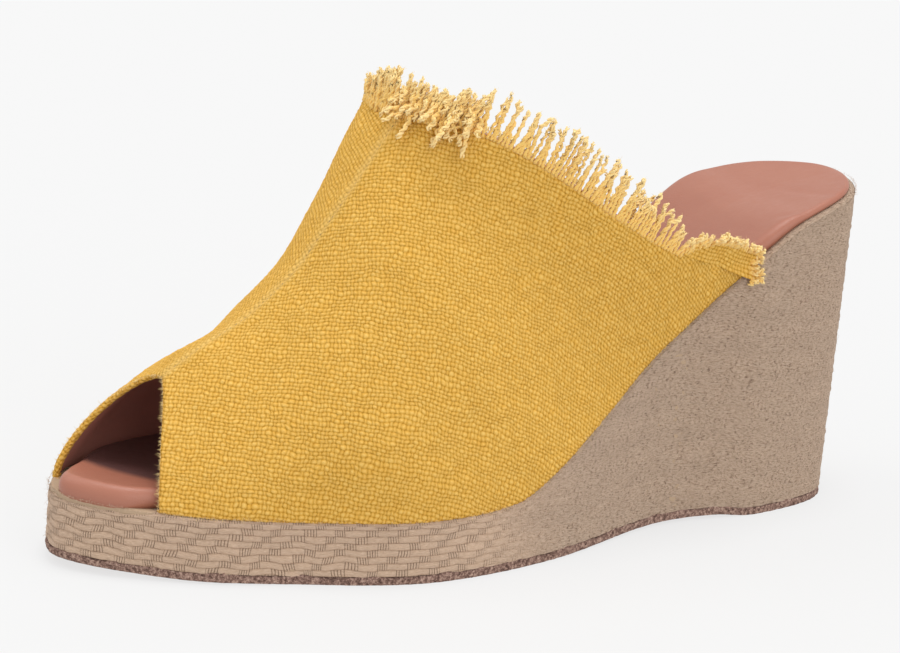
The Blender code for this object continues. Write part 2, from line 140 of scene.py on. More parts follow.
# The crown: shares of BALL_WIDTH, SOLE_LENGTH and INSTEP_HEIGHT
CROWN = (
    ("collar", 0.088, 0.605, 1.000),
    ("upper instep", 0.085, 0.629, 0.919),
    ("instep", 0.081, 0.656, 0.826),
    ("middle", 0.073, 0.687, 0.718),
    ("lower instep", 0.059, 0.731, 0.573),
    ("above the toes", 0.045, 0.778, 0.470),
    ("toes", 0.038, 0.835, 0.393),
    ("toe opening", 0.035, 0.878, 0.326),
)

# Sections of the upper: lateral foot, medial foot and crown as shares of SOLE_LENGTH,
# fullness of the lateral and of the medial side, the sweep from arch to horseshoe, and
# the lag with which a section leans back
SECTIONS = (
    ("toe opening", 0.000, 0.913, 0.984, 0.878, 1.20, 2.30, 0.00, 1.50),
    ("behind the rim", 0.050, 0.889, 0.955, 0.865, 1.29, 1.85, 0.00, 1.20),
    ("toes", 0.125, 0.852, 0.875, 0.845, 1.42, 1.65, 0.00, 1.20),
    ("front of ball", 0.250, 0.775, 0.800, 0.808, 1.55, 1.50, 0.05, 1.05),
    ("ball", 0.400, 0.665, 0.690, 0.762, 1.65, 1.90, 0.20, 1.00),
    ("behind ball", 0.550, 0.545, 0.570, 0.717, 1.75, 2.10, 0.45, 1.00),
    ("waist", 0.700, 0.420, 0.445, 0.676, 1.85, 2.50, 0.70, 1.00),
    ("instep", 0.850, 0.300, 0.320, 0.639, 1.95, 3.20, 0.88, 1.00),
    ("collar", 1.000, 0.186, 0.196, 0.605, 2.00, 4.00, 1.00, 1.00),
)

# Canvas
YARN_PITCH = 1.11       # from one yarn to the next, both ways
LATTICE = (2, 3)        # mesh steps for each yarn: along the weft and across it
WEFT_NUB = (0.80, 0.60)     # half length and half width of a weft nub, in yarns
WARP_NUB = (0.44, 0.70)     # half width and half length of a warp nub
WARP_RISE = 0.85            # height of a warp nub, as a share of a weft nub's
NUB_HEIGHT = 0.22       # how far the woven nubs stand out
FOLD_RADIUS = 0.8       # of the canvas turned in around the toe opening
FOLD_DEPTHS = (3.0, 1.5)    # of the turned-in strip's rows, behind the fold
FOLD_ANGLES = (180, 150, 120, 90, 60, 30)
FOLD_ROWS = len(FOLD_DEPTHS) + len(FOLD_ANGLES)
TUCK = ((1.2, 0.30), (0.1, 0.28))   # columns tucked under a foot: how far in and down
TUCK_TURN = (0, 0, -1.2)    # added to the normal there
COLUMN_TILT = 15.7      # degrees by which the warp leans towards the toes going down
SHEAR_START = -60.0     # y from which the weft begins to turn down towards the heel
SHEAR_LENGTH = 60.0     # at this distance behind it the weft has turned by SHEAR_SLOPE
SHEAR_SLOPE = 0.21
SHEAR_POWER = 1.7
SEAM_HALF = 2.6         # half the raised seam
SEAM_RISE = 0.40
SEAM_STEP = 1.6         # width of the slope at each side of it
SEAM_GROOVE = 0.40      # depth of the soft line where the two panels meet
GROOVE_HALF = 1.3
SEAM_PALE = 2.4         # the seam is paler this far to each side

ROWS = 81               # rows of the upper's surface, toe opening to collar
HALF_COLUMNS = 57       # columns from a foot to the crown
COARSE = 4              # the panels are flattened on every fourth row and column
FLATTEN_ROUNDS = 2600
FLATTEN_PUSH = 0.12     # share of a link's error that one round takes away
ON_PANEL = 1e-4         # a place this near to the flat panel is inside it
WEAVE_BENDS = ((14.0, 0.30, 11), (4.0, 0.24, 13))   # size, sway in yarns and seed
UNEVEN = 0.05           # height of the lumps within a nub
UNEVEN_SIZE = 2.6
BROAD_LUMP = 0.25       # height and size of the canvas's broad swells
BROAD_SIZE = 34.0


def smooth(table, column, key=1):
    """A curve through one column of a table over its key column, with no overshoot."""
    rows = sorted(table, key=lambda row: row[key])
    xs = np.array([row[key] for row in rows], float)
    ys = np.array([row[column] for row in rows], float)
    steps = np.diff(xs)
    slopes = np.diff(ys) / steps
    before, after = slopes[:-1], slopes[1:]
    flat = before * after <= 0
    total = np.where(flat, 1.0, before + after)
    inner = np.where(flat, 0.0, 2 * before * after / total)
    tangents = np.concatenate([[slopes[0]], inner, [slopes[-1]]])

    def value(at):
        at = np.clip(at, xs[0], xs[-1])
        i = np.clip(np.searchsorted(xs, at, side="right") - 1, 0, len(steps) - 1)
        s = (at - xs[i]) / steps[i]
        rise = ys[i + 1] - ys[i]
        bend_in = tangents[i] * steps[i] - rise
        bend_out = tangents[i + 1] * steps[i] - rise
        return ys[i] + s * rise + s * (1 - s) * ((1 - s) * bend_in - s * bend_out)

    return value


def closed_curve(points, per_span=40):
    """Points along a closed centripetal Catmull-Rom curve through the given ones."""
    count = len(points)
    curve = []
    for i in range(count):
        p0, p1, p2, p3 = (np.array(points[(i + k - 1) % count]) for k in range(4))
        t1 = np.linalg.norm(p1 - p0) ** 0.5
        t2 = t1 + np.linalg.norm(p2 - p1) ** 0.5
        t3 = t2 + np.linalg.norm(p3 - p2) ** 0.5
        t = (t1 + (t2 - t1) * np.arange(per_span) / per_span)[:, None]
        a1 = p0 * (t1 - t) / t1 + p1 * t / t1
        a2 = p1 * (t2 - t) / (t2 - t1) + p2 * (t - t1) / (t2 - t1)
        a3 = p2 * (t3 - t) / (t3 - t2) + p3 * (t - t2) / (t3 - t2)
        b1 = a1 * (t2 - t) / t2 + a2 * t / t2
        b2 = a2 * (t3 - t) / (t3 - t1) + a3 * (t - t1) / (t3 - t1)
        curve.append(b1 * (t2 - t) / (t2 - t1) + b2 * (t - t1) / (t2 - t1))
    return np.vstack(curve)


def split_outline():
    """The outline's two sides, each as rows of along and across, heel to toe."""
    points = [(across * BALL_WIDTH, along * SOLE_LENGTH) for _, across, along in OUTLINE]
    curve = closed_curve(points)
    curve = np.roll(curve, -int(np.argmin(curve[:, 1])), axis=0)
    toe = int(np.argmax(curve[:, 1]))
    lateral = curve[:toe + 1]
    medial = np.vstack([curve[toe:], curve[:1]])[::-1]
    return lateral[:, ::-1], medial[:, ::-1]


LATERAL, MEDIAL = split_outline()
BACK = LATERAL[0, 0]
FRONT = LATERAL[-1, 0]
MIDDLE_ACROSS = (LATERAL[:, 1].max() + MEDIAL[:, 1].min()) / 2
MIDDLE_ALONG = (BACK + FRONT) / 2
top_share = smooth(TOP_EDGE, 2)
spring_share = smooth(UNDERSIDE, 2)
arch_share = smooth(UNDERSIDE, 3)
pad_share = smooth(PAD, 2)
crown_across = smooth(CROWN, 1, key=2)
crown_up = smooth(CROWN, 3, key=2)


def place(across, along, up):
    """Shoe coordinates to the frame's."""
    across, along, up = np.broadcast_arrays(across, along, up)
    return np.stack([across - MIDDLE_ACROSS, MIDDLE_ALONG - along, up], -1)


def edge(along, side, inset=0.0):
    """Across at the wedge's top edge, with the whole outline drawn in by inset."""
    reach = (FRONT - BACK) / (FRONT - BACK - 2 * inset)
    along = BACK + (along - BACK - inset) * reach
    rows = LATERAL if side > 0 else MEDIAL
    return np.interp(along, rows[:, 0], rows[:, 1]) - side * inset


def underside(along):
    share = along / SOLE_LENGTH
    return TOE_SPRING * spring_share(share) + ARCH_LIFT * arch_share(share)


def top_edge(along):
    share = along / SOLE_LENGTH
    return PLATFORM + HEEL_RISE * top_share(share) + TOE_SPRING * spring_share(share)


def foot_along(along):
    left = np.clip((along - BACK) / HEEL_FADE, 0.0, 1.0)
    return along + HEEL_UNDERCUT * (1.0 - left) ** 2


def unit(vectors):
    vectors = np.asarray(vectors, float)
    return vectors / np.maximum(np.linalg.norm(vectors, axis=-1, keepdims=True), 1e-9)


def lerp_rows(run, rows, at):
    return np.stack([np.interp(at, run, rows[:, k]) for k in range(rows.shape[1])], -1)


def run_of(points):
    """Distance travelled along a polyline, at each of its points."""
    steps = np.linalg.norm(np.diff(points, axis=0), axis=1)
    return np.concatenate([[0.0], np.cumsum(steps)])


def noise(points, size, seed):
    """Soft noise from -1 to 1 over points, with lumps of about the given size."""
    pick = np.random.default_rng(seed)
    value = np.zeros(len(points))
    for _ in range(7):
        way = unit(pick.normal(size=points.shape[1]))
        turn = points @ way * (2 * math.pi / (size * pick.uniform(0.7, 1.7)))
        value += np.sin(turn + pick.uniform(0, 2 * math.pi))
    return value / 3.5


def mesh_object(name, points, faces, material, uv=None):
    """A mesh in the frame's metres from points in millimetres; uv is one pair a point."""
    mesh = bpy.data.meshes.new(name)
    points = np.asarray(points, float) * METRE
    mesh.from_pydata(points.tolist(), [], [list(map(int, face)) for face in faces])
    if uv is not None:
        layer = mesh.uv_layers.new(name="UVMap")
        corners = np.zeros(len(mesh.loops), int)
        mesh.loops.foreach_get("vertex_index", corners)
        layer.data.foreach_set("uv", np.asarray(uv, float)[corners].astype(np.float32).ravel())
    mesh.materials.append(material)
    mesh.shade_smooth()
    mesh.validate()
    thing = bpy.data.objects.new(name, mesh)
    bpy.context.scene.collection.objects.link(thing)
    return thing


def grid_faces(rows, columns, start=0, closed=False, flip=False):
    """Quads of a grid of points; closed joins the last column to the first."""
    i, k = np.meshgrid(np.arange(rows - 1), np.arange(columns - (not closed)), indexing="ij")
    n = (k + 1) % columns
    quads = [i * columns + k, i * columns + n, (i + 1) * columns + n, (i + 1) * columns + k]
    quads = np.stack(quads, -1).reshape(-1, 4) + start
    return quads[:, ::-1] if flip else quads


def add_attribute(thing, name, values):
    layer = thing.data.attributes.new(name, "FLOAT", "POINT")
    layer.data.foreach_set("value", np.asarray(values, np.float32))


# The upper's surface


def half_section(u, side, count):
    """Points of one section of the upper's outside, from its foot up to the crown."""
    foot = smooth(SECTIONS, 2 if side > 0 else 3)(u) * SOLE_LENGTH
    crown = smooth(SECTIONS, 4)(u) * SOLE_LENGTH
    full = smooth(SECTIONS, 5 if side > 0 else 6)(u)
    sweep = smooth(SECTIONS, 7)(u)
    lag = smooth(SECTIONS, 8)(u)
    lengthwise = full + sweep * (3 - full)
    across_foot = edge(foot, side) - side * UPPER_MARGIN
    across_crown = crown_across(crown / SOLE_LENGTH) * BALL_WIDTH
    up_foot = top_edge(foot) + CLEARANCE
    up_crown = PLATFORM + INSTEP_HEIGHT * crown_up(crown / SOLE_LENGTH)
    bow = sweep * (LATERAL_BOW if side > 0 else MEDIAL_BOW)
    turn = np.linspace(0, math.pi / 2, 241)
    inward = np.maximum(np.cos(turn), 0.0) ** (2 / full)
    run = np.sin(turn) ** (2 / lengthwise)
    horseshoe = (run * run * (3 - 2 * run)) ** HORSESHOE
    climb = (1 - sweep) * run + sweep * horseshoe
    swell = SIDE_BULGE * np.sin(2 * turn) * (1 - sweep) + bow * np.sin(math.pi * run)
    across = across_crown + (across_foot - across_crown) * inward + side * swell
    along = foot + (crown - foot) * run ** lag
    if side < 0:
        along = along + TWIST * sweep * run * run * (across_crown - across)
    points = place(across, along, up_foot + (up_crown - up_foot) * climb)
    distance = run_of(points)
    return lerp_rows(distance, points, np.linspace(0, distance[-1], count))


def upper_surface():
    """The outside from lateral foot over the crown to medial foot, and its normals."""
    rows = []
    for u in np.linspace(0, 1, ROWS):
        lateral = half_section(u, 1, HALF_COLUMNS)
        medial = half_section(u, -1, HALF_COLUMNS)[::-1]
        rows.append(np.vstack([lateral, medial[1:]]))
    grid = np.array(rows)
    normals = unit(np.cross(np.gradient(grid, axis=0), np.gradient(grid, axis=1)))
    if normals[ROWS // 2, HALF_COLUMNS - 1, 2] < 0:
        normals = -normals
    return grid, normals


def extend(grid, normals):
    """Adds the canvas that is turned in at the toe opening and tucked under at the foot."""
    out = unit(grid[0] - grid[1])
    rows = [grid[0] - 2 * FOLD_RADIUS * normals[0] - out * depth for depth in FOLD_DEPTHS]
    turns = [-normals[0] for _ in FOLD_DEPTHS]
    for angle in np.radians(FOLD_ANGLES):
        bend = normals[0] * (math.cos(angle) - 1) + out * math.sin(angle)
        rows.append(grid[0] + bend * FOLD_RADIUS)
        turns.append(normals[0] * math.cos(angle) + out * math.sin(angle))
    grid = np.concatenate([np.array(rows), grid])
    normals = np.concatenate([np.array(turns), normals])
    for side in (1, -1):        # each time at the first column, and then the order is turned
        tucked = [grid[:, :1] + np.array((-inward * side, 0, -drop)) for inward, drop in TUCK]
        down = [unit(normals[:, :1] + np.array(TUCK_TURN))] * len(TUCK)
        grid = np.concatenate([*tucked, grid], axis=1)[:, ::-1]
        normals = np.concatenate([*down, normals], axis=1)[:, ::-1]
    return grid, normals


def cubic(grid, a, b):
    """Catmull-Rom reading of a grid at fractional rows a and columns b."""
    padded = np.concatenate([2 * grid[:1] - grid[1:2], grid, 2 * grid[-1:] - grid[-2:-1]])
    left = 2 * padded[:, :1] - padded[:, 1:2]
    right = 2 * padded[:, -1:] - padded[:, -2:-1]
    padded = np.concatenate([left, padded, right], axis=1)
    i = np.clip(np.floor(a).astype(int), 0, grid.shape[0] - 2)
    j = np.clip(np.floor(b).astype(int), 0, grid.shape[1] - 2)

    def weights(t):
        return (-0.5 * t + t * t - 0.5 * t ** 3, 1 - 2.5 * t * t + 1.5 * t ** 3,
                0.5 * t + 2 * t * t - 1.5 * t ** 3, -0.5 * t * t + 0.5 * t ** 3)

    total = 0.0
    across = weights(b - j)
    for m, wa in enumerate(weights(a - i)):
        for n, wb in enumerate(across):
            total = total + padded[i + m, j + n] * (wa * wb)[:, None]
    return total


def flatten(points):
    """Lays a grid of points flat, keeping the lengths between neighbours."""
    rows, columns = points.shape[:2]
    normal = unit(np.cross(np.gradient(points, axis=0), np.gradient(points, axis=1)))
    facing = unit(normal.reshape(-1, 3).mean(0))
    right = unit(np.cross((0, 0, 1), facing))
    up = np.cross(facing, right)
    flat = np.stack([points @ right, points @ up], -1)
    links = []
    for di, dk in ((1, 0), (0, 1), (1, 1), (1, -1)):
        first = (slice(0, rows - di), slice(max(-dk, 0), columns - max(dk, 0)))
        second = (slice(di, rows), slice(max(dk, 0), columns + min(dk, 0)))
        rest = np.linalg.norm(points[second] - points[first], axis=-1)
        links.append((first, second, rest))
    for _ in range(FLATTEN_ROUNDS):
        move = np.zeros_like(flat)
        for first, second, rest in links:
            gap = flat[second] - flat[first]
            length = np.maximum(np.linalg.norm(gap, axis=-1), 1e-6)
            push = gap * ((length - rest) / length)[..., None] * FLATTEN_PUSH
            move[first] += push
            move[second] -= push
        flat = flat + move
    return flat


def line_up(flat, points):
    """Turns the flat panel so that the warp runs along its second axis."""
    side = np.concatenate([points.reshape(-1, 3)[:, 1:], np.ones((points[..., 0].size, 1))], 1)
    fit = np.linalg.lstsq(side, flat.reshape(-1, 2), rcond=None)[0]
    tilt = math.radians(COLUMN_TILT)
    warp = unit(np.array((math.sin(tilt), math.cos(tilt), 0.0)) @ fit)
    across = np.array((warp[1], -warp[0]))
    start = np.array((SHEAR_START, 40.0, 1.0)) @ fit
    turned = np.stack([(flat - start) @ across, (flat - start) @ warp], -1)
    heelward = np.array((1.0, 0.0, 0.0)) @ fit @ across
    if heelward < 0:
        turned[..., 0] *= -1
    return turned


def shear_tables():
    """How far the weft has sunk, and the yarn count, at each place across the warp."""
    x = np.linspace(-120, 220, 1361)
    zero = 480                  # the row of the table at x = 0
    slope = SHEAR_SLOPE * (np.maximum(x, 0) / SHEAR_LENGTH) ** SHEAR_POWER
    step = x[1] - x[0]
    sunk = np.cumsum(slope) * step
    count = (np.cumsum(np.sqrt(1 + slope ** 2)) - zero) * step / YARN_PITCH
    return x, sunk, count


def dome(x, y, halves):
    """A rounded nub of the given half sizes: one at its middle, nothing at its foot."""
    return 1.0 - (x / halves[0]) ** 2.0 - (y / halves[1]) ** 2.0


def weave(maths, s, t):
    """Relief of the plain weave at yarn counts s and t, and whether the weft is on top.

    The maths is numpy for a mesh and a material's Nodes for its shader, so that the
    shader's nubs follow the mesh's.
    """
    i, k = maths.floor(s), maths.floor(t)
    a, b = abs(s - i - 0.5), abs(t - k - 0.5)
    off = a + abs(maths.fmod(i + k, 2.0)) * (1.0 - a * 2.0)
    weft = maths.maximum(dome(off, b, WEFT_NUB), 0.0)
    warp = maths.maximum(dome(1.0 - off, b, WARP_NUB), dome(off, 1.0 - b, WARP_NUB))
    warp = warp * WARP_RISE
    return maths.maximum(weft, warp), maths.greater(weft, warp)


# Creases: centre, direction, half length, half width and height
CREASES = (
    ("above the toe opening", (22, -82, 42), (-0.2, 1.0, 0.5), 22, 5.0, -0.7),
    ("lateral ball", (38, -50, 34), (-0.1, 1.0, 0.3), 26, 8.0, 0.5),
    ("beside the seam", (16, -52, 62), (0.0, 0.8, 0.7), 26, 5.0, -0.5),
    ("behind the ball", (40, -12, 44), (0.0, 0.7, 0.6), 22, 7.0, -0.5),
    ("waist", (34, 26, 66), (0.0, 0.9, 0.4), 20, 6.0, 0.5),
    ("before the lateral end", (28, 52, 66), (0.0, 0.5, -0.6), 9, 3.5, -0.8),
    ("medial instep", (-20, -38, 66), (0.0, 0.8, 0.7), 26, 7.0, -0.5),
    ("medial waist", (-32, 4, 60), (0.0, 0.8, 0.5), 24, 8.0, 0.5),
)


def crease(points, centre, way, length, width, height):
    """One soft trough or ridge, in millimetres at each point."""
    away = points - np.array(centre)
    onward = unit(np.array(way))
    run = away @ onward
    off = np.linalg.norm(away - run[:, None] * onward, axis=1)
    return height * np.exp(-(run / length) ** 2 - (off / width) ** 2)


def unevenness(points):
    """The canvas's broad swells and listed creases, along its normal."""
    total = BROAD_LUMP * noise(points, BROAD_SIZE, 5)
    for _, *shape in CREASES:
        total = total + crease(points, *shape)
    return total


def seam_profile(distance):
    """The raised seam with the line down its middle."""
    step = np.clip((SEAM_HALF + SEAM_STEP - distance) / SEAM_STEP, 0, 1)
    groove = np.clip(1 - distance / GROOVE_HALF, 0, 1)
    return SEAM_RISE * step * step * (3 - 2 * step) - SEAM_GROOVE * groove * groove * (3 - 2 * groove)


def lay_flat(grid, crown_first):
    """The panel laid flat, with its turned-in rows and tucked columns carried straight on."""
    foot_first = slice(None, None, -1 if crown_first else 1)
    tucked = len(TUCK)
    inner = grid[FOLD_ROWS:, foot_first][:, tucked:][:, foot_first]
    coarse = inner[::COARSE, ::COARSE]
    a, b = np.indices(inner.shape[:2]).reshape(2, -1) / COARSE
    flat = cubic(line_up(flatten(coarse), coarse), a, b).reshape(*inner.shape[:2], 2)
    grid, flat = grid[:, foot_first], flat[:, foot_first]
    for i in range(FOLD_ROWS - 1, -1, -1):
        step = np.linalg.norm(grid[i + 1] - grid[i], axis=-1)[tucked:, None]
        flat = np.concatenate([(flat[0] + unit(flat[0] - flat[3]) * step)[None], flat])
    for i in range(tucked - 1, -1, -1):
        step = np.linalg.norm(grid[:, i] - grid[:, i + 1], axis=-1)[:, None]
        edge_column = flat[:, 0] + unit(flat[:, 0] - flat[:, 2]) * step
        flat = np.concatenate([edge_column[:, None], flat], 1)
    return flat[:, foot_first]


def find_places(tree, x, y, reach):
    """The flat triangle nearest to each place, the spot on it, and if the place is inside."""
    found = np.full(x.shape, -1)
    spot = np.zeros((*x.shape, 2))
    inside = np.zeros(x.shape, bool)
    for cell in np.ndindex(x.shape):
        near, _, index, gap = tree.find_nearest((x[cell], y[cell], 0.0), reach)
        if near is not None:
            found[cell] = index
            spot[cell] = near[:2]
            inside[cell] = gap < ON_PANEL
    return found, spot, inside


def corners_of(values):
    """The four corners of each cell of a grid of values."""
    return values[:-1, :-1], values[1:, :-1], values[1:, 1:], values[:-1, 1:]


def rows_and_columns(flat, corner, at, columns):
    """Fractional row and column of each place in its flat triangle."""
    p, q, r = (flat[corner[:, k], :2] for k in range(3))
    area = np.cross(q - p, r - p)
    w1 = np.cross(at - p, r - p) / area
    w2 = np.cross(q - p, at - p) / area
    weights = np.stack([1 - w1 - w2, w1, w2], -1)
    return [(part * weights).sum(1) for part in np.divmod(corner, columns)]


def weave_lattice(fine):
    """The panel cut along its yarns: faces, and each point's row, column and yarn counts."""
    rows, columns = fine.shape[:2]
    quads = grid_faces(rows, columns)
    flat = np.concatenate([fine, np.zeros((rows, columns, 1))], -1).reshape(-1, 3)
    triangles = np.concatenate([quads[:, (0, 1, 2)], quads[:, (0, 2, 3)]])
    tree = BVHTree.FromPolygons(flat.tolist(), triangles.tolist())
    x_table, sunk, count = shear_tables()

    def yarn_counts(at):
        sinking = np.interp(at[..., 0], x_table, sunk)
        return np.interp(at[..., 0], x_table, count), (at[..., 1] + sinking) / YARN_PITCH

    lines = []
    for counts, steps in zip(yarn_counts(fine), LATTICE):
        ends = math.floor(counts.min()) * steps, math.ceil(counts.max()) * steps + 1
        lines.append(np.arange(*ends) / steps)
    ss, tt = np.meshgrid(*lines, indexing="ij")
    x = np.interp(ss, count, x_table)
    y = tt * YARN_PITCH - np.interp(x, x_table, sunk)
    found, spot, inside = find_places(tree, x, y, 1.2 * YARN_PITCH / min(LATTICE))
    keep = np.any(corners_of(inside), axis=0) & np.all(corners_of(found >= 0), axis=0)
    faces = np.stack(corners_of(np.arange(ss.size).reshape(ss.shape)), -1)[keep]
    used, faces = np.unique(faces, return_inverse=True)
    at = spot.reshape(-1, 2)[used]
    a, b = rows_and_columns(flat, triangles[found.ravel()[used]], at, columns)
    return faces.reshape(-1, 4), a, b, np.stack(yarn_counts(at), -1)


def make_panel(name, grid, normals, crown_first, material):
    """One canvas panel, woven flat and laid on the last."""
    faces, a, b, uv = weave_lattice(lay_flat(grid, crown_first))
    points = cubic(grid, a, b)
    normal = unit(cubic(normals, a, b))
    straight = uv
    for size, sway, seed in WEAVE_BENDS:
        bends = [noise(straight, size, seed), noise(straight, size, seed + 1)]
        uv = uv + sway * np.stack(bends, -1)

    crown_column = 0.0 if crown_first else grid.shape[1] - 1.0
    crown_points = cubic(grid, a, np.full(len(a), crown_column))
    from_crown = np.linalg.norm(points - crown_points, axis=1)
    lift = seam_profile(from_crown) * np.clip((a - 4) / 6, 0, 1)
    lift = lift + unevenness(points) * np.clip((a - FOLD_ROWS) / 12, 0, 1)
    lift = lift + NUB_HEIGHT * (weave(np, uv[:, 0], uv[:, 1])[0] - 0.5)
    lift = lift + UNEVEN * noise(uv, UNEVEN_SIZE, 15)
    points = points + normal * lift[:, None]
    first, second, third = (points[faces[:, k]] for k in range(3))
    if (np.cross(second - first, third - first) * normal[faces[:, 0]]).sum() < 0:
        faces = faces[:, ::-1]
    panel = mesh_object(name, points, faces, material, uv)
    add_attribute(panel, "seam", np.clip(1 - from_crown / SEAM_PALE, 0, 1))
    return panel


# Materials
WEAVE_SWAY = 0.36       # how far the shader's yarns wander, in yarns
PAINTED_SHADE_SOFT = 5.0         # width over which the footbed's painted shade sets in
PAINTED_SHADE_BACK = 15.0        # y at which the painted shade has faded out, towards the heel
PAINTED_SHADE_FADE = 30.0        # length over which the painted shade fades


class Value:
    """A node's output, which takes part in sums, products and powers."""

    def __init__(self, nodes, socket):
        self.nodes = nodes
        self.socket = socket

    def __add__(self, other):
        return self.nodes.math("ADD", self, other)

    def __sub__(self, other):
        return self.nodes.math("SUBTRACT", self, other)

    def __rsub__(self, other):
        return self.nodes.math("SUBTRACT", other, self)

    def __mul__(self, other):
        return self.nodes.math("MULTIPLY", self, other)

    def __truediv__(self, other):
        return self.nodes.math("DIVIDE", self, other)

    def __pow__(self, other):
        return self.nodes.math("POWER", self, other)

    def __abs__(self):
        return self.nodes.math("ABSOLUTE", self)

    def fract(self):
        return self.nodes.math("FRACT", self)

    def clamp(self):
        return self.nodes.minimum(self.nodes.maximum(self, 0.0), 1.0)

    def band(self, half, soft):
        """One within half of nothing, falling to nothing over soft."""
        return ((half - abs(self)) / soft).clamp()


class Nodes:
    """Short calls for a material's node tree; those that weave needs have numpy's names."""

    def __init__(self, name):
        self.material = bpy.data.materials.new(name)
        self.material.use_nodes = True
        self.tree = self.material.node_tree
        self.shader = self.tree.nodes["Principled BSDF"]

    def put(self, value, socket):
        if isinstance(value, Value):
            self.tree.links.new(value.socket, socket)
        elif socket.type == "RGBA":
            socket.default_value = (*value, 1.0)
        else:
            socket.default_value = value

    def add(self, kind, inputs, **settings):
        """A node with its settings, and with its inputs by name or number."""
        node = self.tree.nodes.new(kind)
        for key, value in settings.items():
            setattr(node, key, value)
        for key, value in inputs.items():
            self.put(value, node.inputs[key])
        return node

    def read(self, node, output=0):
        return Value(self, node.outputs[output])

    def math(self, operation, *values):
        return self.read(self.add("ShaderNodeMath", dict(enumerate(values)), operation=operation))

    def floor(self, value):
        return self.math("FLOOR", value)

    def fmod(self, value, by):
        return self.math("MODULO", value, by)

    def maximum(self, one, other):
        return self.math("MAXIMUM", one, other)

    def minimum(self, one, other):
        return self.math("MINIMUM", one, other)

    def greater(self, one, other):
        return self.math("GREATER_THAN", one, other)

    def blend(self, share, one, other):
        """One number where share is nothing, the other where it is one."""
        return one + (other - one) * share

    def vector(self, x, y, z=0.0):
        return self.read(self.add("ShaderNodeCombineXYZ", {0: x, 1: y, 2: z}))

    def split(self, vector):
        node = self.add("ShaderNodeSeparateXYZ", {0: vector})
        return [self.read(node, k) for k in range(3)]

    def uv(self):
        return self.split(self.read(self.add("ShaderNodeUVMap", {}, uv_map="UVMap")))[:2]

    def position(self):
        return self.read(self.add("ShaderNodeTexCoord", {}), "Object")

    def noise(self, vector, scale, detail=2.0, rough=0.5):
        inputs = {"Vector": vector, "Scale": scale, "Detail": detail, "Roughness": rough}
        return self.read(self.add("ShaderNodeTexNoise", inputs), "Fac")

    def cell_noise(self, x, y):
        """One random number for each whole cell."""
        cell = {"Vector": self.vector(self.floor(x), self.floor(y))}
        return self.read(self.add("ShaderNodeTexWhiteNoise", cell, noise_dimensions="2D"), "Value")

    def ramp(self, factor, *stops):
        node = self.add("ShaderNodeValToRGB", {0: factor})
        elements = node.color_ramp.elements
        while len(elements) < len(stops):
            elements.new(0.5)
        for element, (at, colour) in zip(elements, stops):
            element.position = at
            element.color = (*colour, 1.0)
        return self.read(node)

    def mix(self, factor, one, other):
        colours = {0: factor, 6: one, 7: other}
        return self.read(self.add("ShaderNodeMix", colours, data_type="RGBA"), 2)

    def bump(self, height, distance, strength):
        inputs = {"Height": height, "Distance": distance, "Strength": strength}
        return self.read(self.add("ShaderNodeBump", inputs))

    def finish(self, colour, roughness, normal=None, sheen=0.0, specular=0.5):
        wanted = {"Base Color": colour, "Roughness": roughness,
                  "Specular IOR Level": specular, "Sheen Weight": sheen}
        if normal is not None:
            wanted["Normal"] = normal
        for name, value in wanted.items():
            self.put(value, self.shader.inputs[name])
        return self.material


def canvas():
    """Mustard plain-weave canvas of slubby yarn."""
    n = Nodes("canvas_weave")
    s, t = n.uv()
    uv = n.vector(s, t)
    sway = (n.noise(uv, 1.1) - 0.5) * WEAVE_SWAY
    swing = (n.noise(n.vector(t, s, 3.0), 1.1) - 0.5) * WEAVE_SWAY
    height, on_weft = weave(n, s + sway, t + swing)
    along_weft = n.noise(n.vector(s * 0.35, n.floor(t)), 1.0, 1.0)
    along_warp = n.noise(n.vector(n.floor(s), t * 0.35, 7.0), 1.0, 1.0)
    slub = n.blend(on_weft, along_warp, along_weft)
    nub = n.cell_noise(s, t)
    fibre = n.noise(n.vector(s, t * 1.6, 1.0), 3.6, 3.0, 0.65)
    height = height + (fibre - 0.5) * 0.85 + (slub - 0.5) * 0.50 + (nub - 0.5) * 0.24
    # colour by the weave's height: painted shade in the cracks between the nubs and a painted highlight
    # on their tops, mixed with the yarn's own slubs and tone
    colour = n.ramp(height, (0.0, (0.560, 0.262, 0.026)), (0.30, (0.735, 0.388, 0.056)),
                    (0.62, (0.850, 0.478, 0.088)), (1.0, (0.930, 0.600, 0.160)))
    colour = n.mix(n.noise(uv, 0.07, 2.0) * 0.24, colour, (0.800, 0.435, 0.072))
    heather = n.noise(n.vector(s, t, 9.0), 1.7, 2.0, 0.6)
    colour = n.mix(n.greater(heather, 0.60) * 0.22, colour, (0.86, 0.57, 0.16))
    seam = n.read(n.add("ShaderNodeAttribute", {}, attribute_name="seam"), "Fac")
    colour = n.mix(seam * 0.42, colour, (0.930, 0.660, 0.240))
    return n.finish(colour, 0.88, n.bump(height, 0.00040, 1.0), specular=0.15)


def leather(name, light, dark, roughness, painted_shade=None):
    """Smooth leather with a fine grain; the last argument, when given, is a painted shade colour
    that it darkens to deep in the toes, where the UV map holds how far behind the toes' lit end a place
    lies, and its y."""
    n = Nodes(name)
    where = n.position()
    cracks = n.add("ShaderNodeTexVoronoi", {"Vector": where, "Scale": 1500.0},
                   feature="DISTANCE_TO_EDGE")
    pores = n.minimum(n.read(cracks, "Distance") * 4.0, 1.0)
    colour = n.mix(n.noise(where, 55.0, 3.0), dark, light)
    fine = n.noise(where, 420.0, 3.0, 0.6)
    # painted shade: the footbed's colour darkens deep under the toes, where the upper's shadow falls
    if painted_shade:
        behind, y = n.uv()
        painted_shade_mask = (behind / PAINTED_SHADE_SOFT).clamp() * ((PAINTED_SHADE_BACK - y) / PAINTED_SHADE_FADE).clamp()
        colour = n.mix(painted_shade_mask, colour, painted_shade)
    relief = n.bump(pores * 0.30 + fine, 0.00012, 0.55)
    return n.finish(colour, fine * 0.16 + (roughness - 0.08), relief, specular=0.45)


